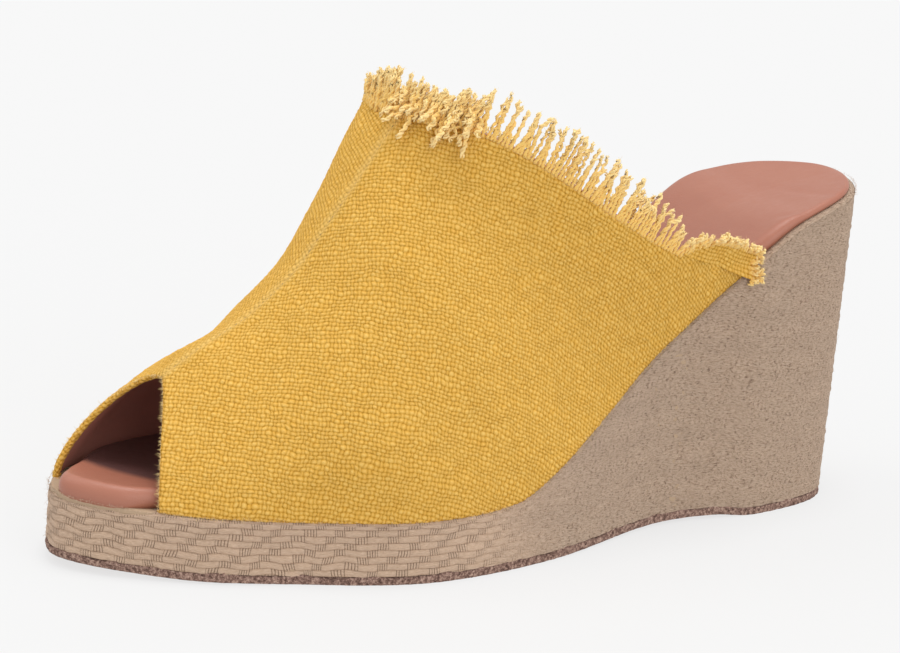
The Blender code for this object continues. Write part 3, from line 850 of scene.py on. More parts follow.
def tape_relief(n, s, t):
    """The forefoot's jute: flat slivers with dark ticks across them in brick order."""
    across = t.fract() - 0.5
    group = ((s / JUTE_REPEAT + n.floor(t) * JUTE_STEP).fract() - 0.5).band(0.21, 0.05)
    wave = abs(n.math("SINE", s * (math.pi * TICKS)))
    tick = wave.band(0.62, 0.5) * group * across.band(0.56, 0.14)
    crack = (abs(across) - 0.5).band(0.13, 0.10)
    strands = n.noise(n.vector(s * 2.2, t * 6.5), 1.0, 4.0, 0.65)
    ridge = n.maximum(1.0 - abs(across * 2.0) ** 4.0, 0.0)
    relief = ridge * 0.26 + 0.40 + (strands - 0.5) * 1.5
    return relief - tick * 0.75 - crack * (strands * 0.45)


def tweed_relief(n, s, t, uv):
    """The heel's jute: hairy and finer, with short scattered marks."""
    s2, t2 = s * HEEL_TICKS[0], t * HEEL_TICKS[1]
    s2 = s2 + (n.noise(uv, 2.4, 2.0) - 0.5) * 1.3 + n.floor(t2) * 0.36
    mark = (s2.fract() - 0.5).band(0.17, 0.14) * (t2.fract() - 0.5).band(0.50, 0.20)
    mark = mark * n.cell_noise(s2, t2)
    hairy = n.noise(n.vector(s * 2.4 + t * 1.3, t * 4.6 - s * 1.1, 4.0), 1.0, 4.0, 0.72)
    tweed = n.noise(n.vector(s * 0.9, t * 1.6, 2.0), 1.0, 3.0, 0.6)
    return (hairy - 0.5) * 3.9 + 0.70 + (tweed - 0.5) * 0.9 - mark * 0.55


def jute():
    """Natural jute tape, finer and tweedier around the heel than at the forefoot."""
    n = Nodes("jute_tape")
    s, t = n.uv()
    uv = n.vector(s, t)
    heelward = (n.split(n.position())[1] + 0.010) * 28.0
    heelward = (heelward + (n.noise(uv, 0.12, 2.0) - 0.1)).clamp()
    height = n.blend(heelward, tape_relief(n, s, t), tweed_relief(n, s, t, uv))
    # colour by the relief: painted shade in the ticks and the cracks between slivers, with the jute's
    # own uneven tone
    colour = n.ramp(height, (0.0, (0.262, 0.163, 0.105)), (0.26, (0.465, 0.312, 0.211)),
                    (0.60, (0.603, 0.424, 0.298)), (1.0, (0.715, 0.536, 0.396)))
    colour = n.mix(n.noise(uv, 0.16, 3.0) * 0.25, colour, (0.550, 0.385, 0.285))
    return n.finish(colour, 0.94, n.bump(height, 0.00036, 0.9), sheen=0.10, specular=0.15)


def crumb_rubber():
    """Brown-grey sheet rubber with a crumbly cut edge."""
    n = Nodes("crumb_rubber")
    where = n.position()
    crumbs = n.noise(where, 1150.0, 4.0, 0.75)
    colour = n.ramp(crumbs, (0.36, (0.080, 0.043, 0.034)), (0.50, (0.250, 0.148, 0.115)),
                    (0.64, (0.530, 0.360, 0.285)))
    relief = crumbs + n.noise(where, 160.0, 2.0) * 0.8
    return n.finish(colour, 0.9, n.bump(relief, 0.0005, 0.9), specular=0.2)


def yarn():
    """Loose canvas yarn, paler towards its tips."""
    n = Nodes("frayed_yarn")
    where = n.position()
    fuzz = n.noise(where, 1400.0, 3.0, 0.7)
    colour = n.ramp(n.uv()[1], (0.0, (0.850, 0.520, 0.110)), (0.45, (0.900, 0.585, 0.165)),
                    (1.0, (0.940, 0.740, 0.360)))
    colour = n.mix(n.noise(where, 260.0, 1.0) * 0.30, colour, (0.840, 0.490, 0.100))
    colour = n.mix(fuzz * 0.30, colour, (0.950, 0.740, 0.360))
    return n.finish(colour, 0.9, n.bump(fuzz, 0.00022, 0.8), sheen=0.3, specular=0.15)


def hair_material(name, colour):
    return Nodes(name).finish(colour, 0.8, specular=0.2)


# Pieces


LINING_START = 1.2      # the lining starts this far behind the toe opening's rim
LINING_TUCK = 0.15      # and lies this far within the turned-in canvas
COLLAR_ROLL = ((0.7, 0.35), (0.125, 0.0))   # at the collar: depth in WALLs, and rise


def make_lining(grid, normals, material):
    """The leather lining, a wall's thickness inside the canvas."""
    shell = grid - normals * WALL
    for column, side in ((0, 1), (-1, -1)):
        shell[:, column] = grid[:, column] + np.array((-WALL * side, 0, 0))
    fold = grid[0] - normals[0] * (2 * FOLD_RADIUS - LINING_TUCK)
    rows = [fold + unit(grid[1] - grid[0]) * LINING_START, *shell[2:-1:2], shell[-1]]
    onward = unit(grid[-1] - grid[-2])
    for depth, rise in COLLAR_ROLL:
        rows.append(grid[-1] - normals[-1] * WALL * depth + onward * rise)
    points = np.array(rows)[:, ::2]
    faces = grid_faces(*points.shape[:2], flip=True)
    return mesh_object("lining", points.reshape(-1, 3), faces, material)


def wall_margins(grid, normals, side):
    """Rows of along and of the margin that the upper's wall takes at the pad's top."""
    inside = grid - normals * WALL
    inside = inside if side > 0 else inside[:, ::-1]
    rows = []
    for row in inside:
        low = row[1:HALF_COLUMNS]
        along = MIDDLE_ALONG - low[:, 1]
        heights = low[:, 2] - top_edge(along)
        at = np.interp(PAD_THICKNESS, heights, along)
        across = np.interp(PAD_THICKNESS, heights, low[:, 0]) + MIDDLE_ACROSS
        rows.append((at, side * (edge(at, side, OPEN_MARGIN) - across) + OPEN_MARGIN))
    return np.array(sorted(rows))


def insole_margin(along, side, margins):
    """How far inside the sole's outline the footbed ends: less where no wall stands on it."""
    column = 2 if side > 0 else 3
    front = SECTIONS[0][column] * SOLE_LENGTH
    back = SECTIONS[-1][column] * SOLE_LENGTH
    under = np.interp(along, margins[:, 0], margins[:, 1]) + CLEARANCE + WALL_EASE
    ahead = np.clip((along - front) / EASE_LENGTH, 0.0, 1.0)
    behind = np.clip((back - along) / EASE_LENGTH, 0.0, 1.0)
    return under + (TOE_MARGIN - under) * ahead + (SEAT_MARGIN - under) * behind


PAINTED_SHADE_FROM = 96.5        # the footbed's painted shade starts behind a slanting line this far towards the toe
PAINTED_SHADE_SLANT = 0.775      # sideways, the line runs back by this share
SPINE_END = 24.0        # the footbed's rings close onto a line that ends this far inside
UNDER_SHARES = (1.0, 0.6, 0.2, 0.02)    # rings under the footbed, from its middle outwards
MARGIN_ROUNDS = 12      # of smoothing for the footbed's edge

# Soft creases of the heel seat: centre, direction, half length, half width and height
SEAT_CREASES = (
    ("seat", (4, 98, 85), (0.9, 0.3, 0.0), 16, 1.8, -0.22),
    ("seat side", (16, 84, 82), (0.5, 0.9, 0.1), 12, 1.5, -0.20),
    ("seat front", (-8, 78, 80), (1.0, -0.2, 0.0), 14, 2.2, 0.20),
)


def spine(along):
    """Across, halfway between the sole's two sides."""
    return (edge(along, 1) + edge(along, -1)) / 2


def pad_thickness(along):
    return PAD_THICKNESS * pad_share(along / SOLE_LENGTH)


def pad_ring(flat, sunk, dish=0.0):
    """A ring of the footbed: sunk is one at its foot and nothing at its top."""
    across, along = flat[:, 0], flat[:, 1]
    lap = toe_drop(along) / TOE_DROP * TOE_LAP
    up = top_edge(along) + CLEARANCE + pad_thickness(along) * (1 - sunk) - dish - lap * sunk
    medial = spine(along) - across
    up = up + SEAT_CANT * np.clip(medial / 20, 0, 1) * np.clip(2 - along / 40, 0, 1)
    return place(across, along, up)


def footbed_outline(grid, normals):
    """The footbed's foot all around, its outward directions, and the line it closes onto."""
    outline, out, _ = perimeter(0.0, 1.0)
    along = outline[:, 1]
    lateral_side = outline[:, 0] > spine(along)
    margin = np.zeros(len(along))
    for side, chosen in ((1, lateral_side), (-1, ~lateral_side)):
        margin[chosen] = insole_margin(along[chosen], side, wall_margins(grid, normals, side))
    for _ in range(MARGIN_ROUNDS):
        margin = (np.roll(margin, 1) + 2 * margin + np.roll(margin, -1)) / 4
    foot = outline - out * margin[:, None]
    middle_along = np.clip(foot[:, 1], BACK + SPINE_END, FRONT - SPINE_END)
    return foot, out, np.stack([spine(middle_along), middle_along], -1)


def make_insole(grid, normals, material):
    """The leather footbed, rolled over at its edge, with the seat's soft creases."""
    foot, out, middle = footbed_outline(grid, normals)
    thick = pad_thickness(foot[:, 1])
    curve = np.minimum(PAD_ROUND, thick * ROUND_SHARE)
    rings = [pad_ring(foot + (middle - foot) * share, 1.0) for share in UNDER_SHARES]
    for angle in np.radians(np.linspace(0, 90, 9)):
        inset = curve * (1 - math.cos(angle))
        rings.append(pad_ring(foot - out * inset[:, None], curve * (1 - math.sin(angle)) / thick))
    rolled = foot - out * curve[:, None]
    for share in np.linspace(0, 1, 24)[1:]:
        dish = SEAT_DISH * (1 - (1 - share) ** 2)
        rings.append(pad_ring(rolled + (middle - rolled) * share, 0.0, dish))
    points = np.array(rings)
    rows, columns = points.shape[:2]
    # the UV map for the painted shade: how far behind its slanting line a place lies, and its y
    behind = points[..., 1] - PAINTED_SHADE_SLANT * points[..., 0] + PAINTED_SHADE_FROM
    uv = np.stack([behind, points[..., 1]], -1).reshape(-1, 2)
    flat = points.reshape(-1, 3)
    rolling = np.arange(len(flat)) >= (len(UNDER_SHARES) + 2) * columns
    for _, *shape in SEAT_CREASES:
        flat[:, 2] += rolling * crease(flat, *shape)
    faces = grid_faces(rows, columns, closed=True, flip=True)
    return mesh_object("insole_leather", flat, faces, material, uv)


def perimeter(reach, step):
    """Points around the sole's outline, drawn out by reach, about step apart."""
    loop = np.vstack([LATERAL, MEDIAL[::-1][1:]])[:, ::-1]
    ahead = np.roll(loop, -1, axis=0) - np.roll(loop, 1, axis=0)
    out = unit(np.stack([ahead[:, 1], -ahead[:, 0]], -1))
    drawn = loop + out * reach
    closed = np.vstack([drawn, drawn[:1]])
    distance = run_of(closed)
    count = int(round(distance[-1] / step))
    at = np.linspace(0, distance[-1], count, endpoint=False)
    normals = unit(lerp_rows(distance, np.vstack([out, out[:1]]), at))
    return lerp_rows(distance, closed, at), normals, at


def outward_of(out):
    """The outline's outward directions, in the frame."""
    return np.stack([out[:, 0], -out[:, 1], np.zeros(len(out))], -1)


def ring(points, out, along, inset, up):
    """A ring around the sole at the given height, drawn in by inset."""
    return place(points[:, 0] - out[:, 0] * inset, along - out[:, 1] * inset, up)


def grid_noise(grid, size, seed):
    return noise(grid.reshape(-1, grid.shape[-1]), size, seed).reshape(grid.shape[:2])


# Jute
JUTE_GROUP = 3.1        # width of a group of upright yarns
JUTE_ROW = 1.75         # height of a flat sliver
JUTE_RELIEF = 0.32
JUTE_REPEAT = 2.6       # groups from one set of ticks to the next along a row
JUTE_STEP = 0.333       # share of that by which each row's ticks stand along from the last
TICKS = 4.6             # dark ticks to a group's width
HEEL_TICKS = (1.71, 1.1)    # ticks to a group and to a row, around the heel
TOE_DROP = 1.1
JUTE_SKIN = 0.30        # how far the wrap stands out from the wedge's solid
JUTE_DRIFT = (0.20, 3.6)    # sway of the tape's pattern, and the sway's size
JUTE_LUMPS = ((0.13, 2.8, 21), (0.08, 1.5, 23))     # height, size and seed
WALL_FOOT = 0.1         # the wrap starts this far above the rubber
RIM_RISE = 0.12         # the wrap's rim lies this far above the wedge's top edge
RIM_INSETS = (2.2, 3.4, 4.6)
RIM_LUMP = 0.12


def twill_height(s, t):
    """Relief of the jute's flat slivers, sunk where a group of ticks crosses them."""
    row = np.floor(t)
    off = np.abs(np.mod(s / JUTE_REPEAT + row * JUTE_STEP, 1) - 0.5)
    ridge = 1 - np.abs(2 * (t - row - 0.5)) ** 4
    return ridge * (1 - 0.55 * np.clip((0.24 - off) / 0.08, 0, 1))


def toe_drop(along):
    """How far the jute's edge sinks where the open toe shows the footbed lapping over it."""
    return TOE_DROP * np.clip((along - SECTIONS[0][2] * SOLE_LENGTH) / EASE_LENGTH, 0, 1)


def jute_wall(points, out, low, brim, s):
    """The upright part of the wrap: points, yarn counts and faces up to the top edge."""
    along = points[:, 1]
    foot = foot_along(along)
    high = brim - WEDGE_SOFTEN * 0.5
    levels = np.arange(0, PLATFORM + HEEL_RISE + 4, JUTE_ROW / 4)[:, None]
    up = np.minimum(low + levels, high)
    share = (up - low) / (high - low)
    across = points[:, 0] + out[:, 0] * WEDGE_FLARE * (1 - share)
    here = foot + (along - foot) * share + out[:, 1] * WEDGE_FLARE * (1 - share)
    grid = place(across, here, up)
    uv = np.stack([np.broadcast_to(s, up.shape), (up - low) / JUTE_ROW], -1)
    sway, size = JUTE_DRIFT
    uv = uv + sway * np.stack([grid_noise(uv, size, seed) for seed in (24, 25)], -1)
    relief = twill_height(uv[..., 0], uv[..., 1]) - 0.6
    relief = relief * np.clip(0.25 - grid[..., 1] / 40, 0.1, 1)
    rough = sum(grid_noise(grid, size, seed) * height for height, size, seed in JUTE_LUMPS)
    fade = np.clip((high - grid[..., 2]) / 1.2, 0.15, 1)
    skin = JUTE_SKIN + (JUTE_RELIEF * relief + rough) * fade
    grid = grid + outward_of(out) * skin[..., None]
    quads = grid_faces(*up.shape)
    below = (low + levels - high).ravel() < 0
    return grid, uv, quads[below[quads[:, :2]].any(1)]


def jute_rim(points, out, low, brim, s):
    """The wrap's rim, rolled over the top edge and in under the footbed."""
    along = points[:, 1]
    steps = []
    for angle in (0, 30, 60, 90):
        cosine, sine = math.cos(math.radians(angle)), math.sin(math.radians(angle))
        inset = WEDGE_SOFTEN * (1 - cosine) - JUTE_SKIN * cosine
        steps.append((inset, WEDGE_SOFTEN * (1 - sine), angle / 60))
    steps.extend((inset, 0.0, inset) for inset in RIM_INSETS)
    rim = np.array([ring(points, out, along, inset, brim - drop + RIM_RISE)
                    for inset, drop, _ in steps])
    full = (top_edge(along) - low) / JUTE_ROW
    uv = np.array([np.stack([s, full + beyond], -1) for _, _, beyond in steps])
    lumps = grid_noise(rim, 3.0, 22) * RIM_LUMP
    return rim + (outward_of(out) + np.array((0, 0, 0.6))) * lumps[..., None], uv


def make_jute(material):
    """The woven jute wrap around the wedge, up over its top edge."""
    points, out, at = perimeter(0.0, JUTE_GROUP / 5)
    points, out = (np.vstack([rows, rows[:1]]) for rows in (points, out))
    at = np.append(at, at[-1] + at[1])
    groups = round(at[-1] / JUTE_GROUP / 2) * 2
    s = at / at[-1] * groups
    along = points[:, 1]
    low = underside(foot_along(along)) + OUTSOLE + WALL_FOOT
    brim = top_edge(along) - toe_drop(along)
    wall, wall_uv, quads = jute_wall(points, out, low, brim, s)
    rim, rim_uv = jute_rim(points, out, low, brim, s)
    start = wall.size // 3
    everything = np.vstack([wall.reshape(-1, 3), rim.reshape(-1, 3)])
    uv = np.vstack([wall_uv.reshape(-1, 2), rim_uv.reshape(-1, 2)])
    faces = np.vstack([quads, grid_faces(*rim.shape[:2], start)])
    used, faces = np.unique(faces, return_inverse=True)
    return mesh_object("jute_wrap", everything[used], faces.reshape(-1, 4), material, uv[used])


# Outsole
EDGE_WAVE = 0.50        # how far the rubber's upper edge rises and falls
UPPER_INSETS = (3.5, 1.2)   # rings on the rubber's upper face
LOWER_INSETS = (0.9, 2.5, 5.0)      # and on its underside
CRUMB = 0.22            # how far the crumbs stand out
CRUMB_SHARES = (0.5, 1, 1, 1, 1, 0.4)   # share of that at each level, from the top down
SHEET_INSET = 2.0       # the two faces end this far inside the rubber's edge


def outsole_edge(points, out, at, along):
    """The cut edge of the rubber, with the rims of its upper face and underside."""
    wave = EDGE_WAVE * noise(np.stack([at, at * 0], -1), 12.0, 31)
    rings = [(inset, OUTSOLE) for inset in UPPER_INSETS]
    for level in np.linspace(0, 1, len(CRUMB_SHARES))[::-1]:
        rings.append((0.0, (OUTSOLE + wave * (level > 0.5)) * level))
    rings.extend((inset, 0.0) for inset in LOWER_INSETS)
    grid = np.array([ring(points, out, along, inset, underside(along) + rise)
                     for inset, rise in rings])
    crumbs = grid_noise(grid, 1.9, 32) + 0.7 * grid_noise(grid, 1.8, 33)
    push = np.array((0,) * len(UPPER_INSETS) + CRUMB_SHARES + (0,) * len(LOWER_INSETS))
    return grid + outward_of(out) * (crumbs * CRUMB * push[:, None] - 0.1)[..., None]


def outsole_sheet(reach):
    """The face of the rubber's underside, from the heel to the toes."""
    shares = np.linspace(0, 1, 25)
    stations = 90
    turns = math.pi * (np.arange(stations) + 0.5) / stations
    low, high = BACK - reach, FRONT + reach
    sheet = []
    for here in low + (high - low) * (1 - np.cos(turns)) / 2:
        left, right = (edge(here, side, -reach) - side * SHEET_INSET for side in (-1, 1))
        if left > right:
            left = right = (left + right) / 2
        foot = foot_along(here)
        sheet.append(place(left + (right - left) * shares, foot, underside(foot) + 0.02))
    return np.array(sheet)


def make_outsole(material):
    """The rubber sheet with its crumbly, slightly wavy edge."""
    reach = WEDGE_FLARE + OUTSOLE_LIP
    points, out, at = perimeter(reach, 0.8)
    rim = outsole_edge(points, out, at, foot_along(points[:, 1]))
    sheet = outsole_sheet(reach)
    lid = sheet + np.array((0, 0, OUTSOLE - 0.05))
    start = rim.size // 3
    faces = [grid_faces(*rim.shape[:2], closed=True), grid_faces(*sheet.shape[:2], start),
             grid_faces(*lid.shape[:2], start + sheet.size // 3, flip=True)]
    everything = np.vstack([part.reshape(-1, 3) for part in (rim, sheet, lid)])
    return mesh_object("outsole_rubber", everything, np.vstack(faces), material)


def tubes(name, strands, material, sides=5):
    """Many thin tapered tubes as one mesh; a strand is its points and its radii."""
    points, faces, uv = [], [], []
    turn = np.arange(sides) * 2 * math.pi / sides
    for path, radii in strands:
        tangent = unit(np.gradient(path, axis=0))
        helper = np.array((0.31, 0.17, 0.93)) if abs(tangent[0, 2]) < 0.9 else np.array((1.0, 0.1, 0))
        first = unit(np.cross(tangent, helper))
        second = np.cross(tangent, first)
        start = len(points)
        for i, (centre, radius) in enumerate(zip(path, radii)):
            circle = centre + radius * (np.cos(turn)[:, None] * first[i]
                                        + np.sin(turn)[:, None] * second[i])
            points.extend(circle)
            uv.extend([(k / sides, i / (len(path) - 1)) for k in range(sides)])
        faces.extend(grid_faces(len(path), sides, start, closed=True).tolist())
        faces.append(list(range(start, start + sides))[::-1])
        faces.append([start + (len(path) - 1) * sides + k for k in range(sides)])
    return mesh_object(name, np.array(points), faces, material, np.array(uv))


# Fringe
FRAY_LENGTH = 12.0
PLY_RADIUS = 0.40
CRIMP = 0.24            # sway of a loose yarn that was woven
CRIMP_LENGTH = 2.5      # two yarns' pitch
CLUMP_SIZES = (1, 2, 3, 3, 4)   # yarns that lean together
CLUMP_LEAN = 0.10       # how far a clump leans along the edge
HOOKS = 0.30            # share of the yarns whose tips bend over
CURL_RISE = (0.2, 5.5)  # a turned-over yarn rises this far before it turns
CURL_TURN = 2.2         # length over which it turns

# Along the collar from the lateral foot to the medial one: share of the way, length,
# outward lean, lift, tangle and the share of yarns that are turned over outward
FRAY = (
    ("lateral end", 0.000, 0.15, 0.30, 0.20, 0.8, 0.0),
    ("lateral wing", 0.060, 0.19, 0.25, 0.40, 0.8, 0.0),
    ("notch", 0.104, 0.40, 0.10, 0.60, 0.7, 0.0),
    ("behind the notch", 0.150, 0.95, 0.05, 0.80, 0.9, 0.0),
    ("lateral side", 0.230, 1.02, 0.05, 0.75, 1.0, 0.0),
    ("lateral instep", 0.330, 1.05, 0.05, 0.75, 1.0, 0.0),
    ("beside the mat", 0.370, 1.00, 0.05, 0.60, 1.1, 0.0),
    ("mat", 0.395, 0.82, 0.05, 0.55, 1.7, 0.55),
    ("seam", 0.465, 0.72, 0.05, 0.55, 1.7, 0.50),
    ("peak", 0.495, 0.90, 0.10, 0.80, 1.3, 0.0),
    ("behind the peak", 0.560, 0.55, 0.02, 0.70, 1.2, 0.0),
    ("medial instep", 0.600, 0.42, -0.05, 0.60, 1.0, 0.05),
    ("medial side", 0.800, 0.88, 0.00, 0.60, 0.9, 0.0),
    ("medial end", 1.000, 0.80, 0.10, 0.30, 0.8, 0.0),
)

# Where the extra yarns stand: in the flap's edge, in the mat and in the peak by the seam
EXTRA_YARNS = ((0.0, 0.10), (0.385, 0.480), (0.385, 0.480), (0.385, 0.480), (0.480, 0.520))

# The woven flap at the collar's lateral end: share of the collar and height of the weave
WING = (
    ("end", 0.000, 4.0),
    ("low", 0.030, 6.3),
    ("crest", 0.060, 7.3),
    ("slope", 0.088, 4.0),
    ("notch", 0.104, 0.3),
)
WING_FLARE = 0.20
WING_DROP = 4.0         # at its end the flap hangs this far over the wrap
WING_DROP_SHARE = 0.055
WING_ONWARD = 0.30      # how far the flap leans the way the canvas runs
WING_END = WING[-1][1]  # the share of the collar where the flap ends
CLUMP_LENGTHS = (0.80, 1.06)    # of a clump's yarns, as shares of the fringe's there
CLUMP_DRAW = 0.42       # share of the way that a clump's yarns lean together
TURN_OVER = (130, 172)  # degrees by which a yarn of the mat is turned over
EXTRA_COUNT = 130       # extra yarns, dealt out in turn to the places of EXTRA_YARNS
FLAP_END_YARNS = 22
FLAP_END_LENGTH = (1.3, 2.3)
LOOSE_SHARE = 0.605     # where the one loose yarn stands alone
LOOSE_LENGTH = 6.0
FIBRE_COUNT = 11000
FIBRE_LENGTH = (0.5, 1.15)


def collar_lines(grid, normals):
    """Readers of the collar: its line, and its onward, outward and sideways directions."""
    line = grid[-1]
    distance = run_of(line)
    rows = (line, unit(grid[-1] - grid[-3]), normals[-1], unit(np.gradient(line, axis=0)))
    readers = [lambda at, row=row: lerp_rows(distance, row, at) for row in rows]
    return distance[-1], readers


def wing_point(share, height, length, readers):
    """A place on the flap, height above the collar's edge."""
    line, onward, outward, _ = (read(share * length) for read in readers)
    flare = WING_FLARE * abs(height) + 0.03 * height ** 2
    way = onward * WING_ONWARD * min(share / 0.05, 1.0) + np.array((0, 0, 1.0))
    return line + unit(way) * height + outward * flare


def yarn_path(start, way, out, side, length, pick, curl, pull):
    """A crimped yarn: straight, or turned over outward by the curl's angle."""
    run = np.linspace(0, 1, 20)
    turned = np.clip((run * length - pick.uniform(*CURL_RISE)) / CURL_TURN, 0, 1)
    angle = curl * turned * turned * (3 - 2 * turned)
    step = length / (len(run) - 1)
    rise = np.concatenate([[0], np.cumsum(np.cos(angle[1:]) * step)])
    away = np.concatenate([[0], np.cumsum(np.sin(angle[1:]) * step)])
    phase = pick.uniform(0, 2 * math.pi)
    wave = 2 * math.pi * run * length / (CRIMP_LENGTH * pick.uniform(0.85, 1.35)) + phase
    sway = CRIMP * pick.uniform(0.5, 1.5) * np.minimum(run * 3, 1) * (1.6 if curl else 1.0)
    path = start + way * rise[:, None] + out * away[:, None]
    path = path + side * ((pull + pick.normal() * 0.35) * run ** 0.9)[:, None]
    if curl == 0.0 and pick.random() < HOOKS:
        bent = np.clip((run - 0.62) / 0.38, 0, 1)[:, None] ** 1.5
        path = path + side * bent * pick.uniform(-2.6, 2.6) - way * bent * pick.uniform(0.4, 2.2)
    path = path + side * (np.sin(wave) * sway)[:, None]
    path = path + out * (np.cos(wave * 0.8) * sway * 0.8 + pick.normal() * 0.7 * run ** 2)[:, None]
    return path, run, phase


def ply_pair(path, run, phase, length, out, thick):
    """Two plies twisted around a path, opening up and thinning towards the tip."""
    tangent = unit(np.gradient(path, axis=0))
    first = unit(np.cross(tangent, out + 0.01))
    second = np.cross(tangent, first)
    spin = 2 * math.pi * run * length / 2.8 + phase
    plies = []
    for ply in (0, math.pi):
        coil = first * np.cos(spin + ply)[:, None] + second * np.sin(spin + ply)[:, None]
        radii = thick * (1 - 0.22 * run ** 2)
        radii[-1] *= 0.55
        plies.append((path + coil * (thick * 0.50 * (1 + 1.1 * run ** 3))[:, None], radii))
    return plies


def add_warp_yarns(length, readers, pick, strands, cores):
    """The collar's warp yarns in clumps, and the extra ones in the flap, mat and peak."""
    shapes = [smooth(FRAY, k) for k in range(2, 7)]
    wing_height = smooth(WING, 2)
    count = int(length / YARN_PITCH)
    left = 0
    for i in range(count + EXTRA_COUNT):
        if left == 0:
            left = int(pick.choice(CLUMP_SIZES))
            clump_middle = i + left / 2
            clump_length = pick.uniform(*CLUMP_LENGTHS)
            clump_lean = pick.normal() * CLUMP_LEAN
        left -= 1
        extra = i >= count
        if extra:
            share = pick.uniform(*EXTRA_YARNS[i % len(EXTRA_YARNS)])
        else:
            share = (i + 0.5 + pick.uniform(-0.2, 0.2)) / count
        long, lean, lift, tangle, turned = (float(shape(share)) for shape in shapes)
        start, on, out, side = (read(share * length) for read in readers)
        out = unit(out)
        way = unit(on + np.array((0, 0, lift)) + out * (lean + pick.normal() * 0.08)
                   + side * (clump_lean + pick.normal() * 0.07 * tangle))
        long = FRAY_LENGTH * long * clump_length * pick.uniform(0.82, 1.05)
        curl = 0.0
        if pick.random() < turned:
            curl = math.radians(pick.uniform(*TURN_OVER))
        pull = 0.0
        if share < WING_END:
            height = float(wing_height(share))
            start = wing_point(share, max(height - 0.8, 0.0), length, readers)
            way = unit(wing_point(share, height + 1.0, length, readers) - start
                       + (out * 0.5 + np.array((0, -0.5, -0.4))) * max(0.0, 1 - share / 0.04)
                       + side * pick.normal() * 0.25 + out * pick.normal() * 0.3)
        else:
            start = start - on * 0.9 - out * 0.15
            if extra:
                start = start + out * pick.uniform(0.2, 0.9) + on * pick.uniform(-1.2, 0.9)
            else:
                pull = (clump_middle - i - 0.5) * YARN_PITCH * CLUMP_DRAW
        path, run, phase = yarn_path(start, way, out, side, long + 1.2, pick, curl, pull)
        strands.extend(ply_pair(path, run, phase, long, out, PLY_RADIUS * pick.uniform(0.8, 1.15)))
        cores.append(path)


def add_flap_end_yarns(length, readers, pick, strands, cores):
    """Short yarns that stick out of the flap's lateral end."""
    for _ in range(FLAP_END_YARNS):
        start = wing_point(pick.uniform(0.0, 0.012), pick.uniform(-WING_DROP, 3.2), length, readers)
        out, side = unit(readers[2](0.0)), unit(readers[3](0.0))
        way = unit(out * pick.uniform(0.2, 1.0) - side * 0.5 + np.array((0, 0, pick.uniform(-0.8, 0.6))))
        long = pick.uniform(*FLAP_END_LENGTH)
        path, run, phase = yarn_path(start, way, out, np.array((0, 0, 1.0)), long, pick, 0.0, 0.0)
        strands.extend(ply_pair(path, run, phase, long, out, PLY_RADIUS * 0.9))
        cores.append(path)


def add_loose_yarn(length, readers, pick, strands):
    """The one thin yarn that stands alone on the medial side of the seam."""
    start, _, out, side = (read(LOOSE_SHARE * length) for read in readers)
    out = unit(out)
    way = unit(side * 0.45 + np.array((0, 0, 1.0)))
    path, run, phase = yarn_path(start, way, out, side, LOOSE_LENGTH, pick, 0.0, 0.0)
    strands.extend(ply_pair(path, run, phase, LOOSE_LENGTH, out, PLY_RADIUS * 0.55))


def make_fringe(grid, normals, material, fibre_material):
    """The frayed collar: warp yarns in clumps, those by the seam turned over into a mat,
    and the fibres that stand off them."""
    length, readers = collar_lines(grid, normals)
    pick = np.random.default_rng(12)
    strands, cores, fibres = [], [], []
    add_warp_yarns(length, readers, pick, strands, cores)
    add_flap_end_yarns(length, readers, pick, strands, cores)
    add_loose_yarn(length, readers, pick, strands)
    yarns = tubes("collar_yarns", strands, material, sides=6)
    for _ in range(FIBRE_COUNT):
        path = cores[pick.integers(len(cores))]
        k = min(int(len(path) * pick.random() ** 0.7), len(path) - 1)
        way = unit(pick.normal(size=3))
        fibres.append(hair(path[k], way, pick.uniform(*FIBRE_LENGTH), 0.045, pick, 3))
    return yarns, tubes("collar_fibres", fibres, fibre_material, sides=3)


def make_wing(grid, normals, material):
    """The woven flap that stands up and out at the collar's lateral end."""
    length, readers = collar_lines(grid, normals)
    shares = np.linspace(0, WING_END, 70)
    heights = smooth(WING, 2)(shares)
    steps = np.linspace(0, 1, 18)
    lows = -WING_DROP * np.clip(1 - shares / WING_DROP_SHARE, 0, 1)
    sheets, uv = [], []
    for back in (False, True):
        for step in steps[::-1] if back else steps:
            row = []
            for share, low, height in zip(shares, lows, heights - lows):
                spot = wing_point(share, low + height * step, length, readers)
                out = unit(readers[2](share * length))
                counts = (share * length / YARN_PITCH, height * step / YARN_PITCH)
                thick = -0.5 if back else 0.2 * float(weave(np, *counts)[0]) + 0.15
                row.append(spot + out * (thick + 0.25 * math.sin(share * 190 + step * 2.2)))
                uv.append(counts)
            sheets.append(row)
    points = np.array(sheets)
    faces = grid_faces(*points.shape[:2])
    return mesh_object("canvas_flap", points.reshape(-1, 3), faces, material, uv)


# Stray fibres
JUTE_HAIR_COUNT = 4200
TOP_HAIRS = 0.45        # share of the jute's hairs that stand on its top edge
FOLD_FUZZ = 420         # fibres along the fold of the toe opening
FOOT_FUZZ = 900         # and along the canvas's foot


def hair(foot, way, length, radius, pick, steps=4):
    """One fibre: a bent, tapering strand."""
    run = np.linspace(0, 1, steps)[:, None]
    bend = unit(pick.normal(size=3)) * length * 0.35
    return foot + way * run * length + bend * run ** 2, radius * (1 - 0.6 * run[:, 0])


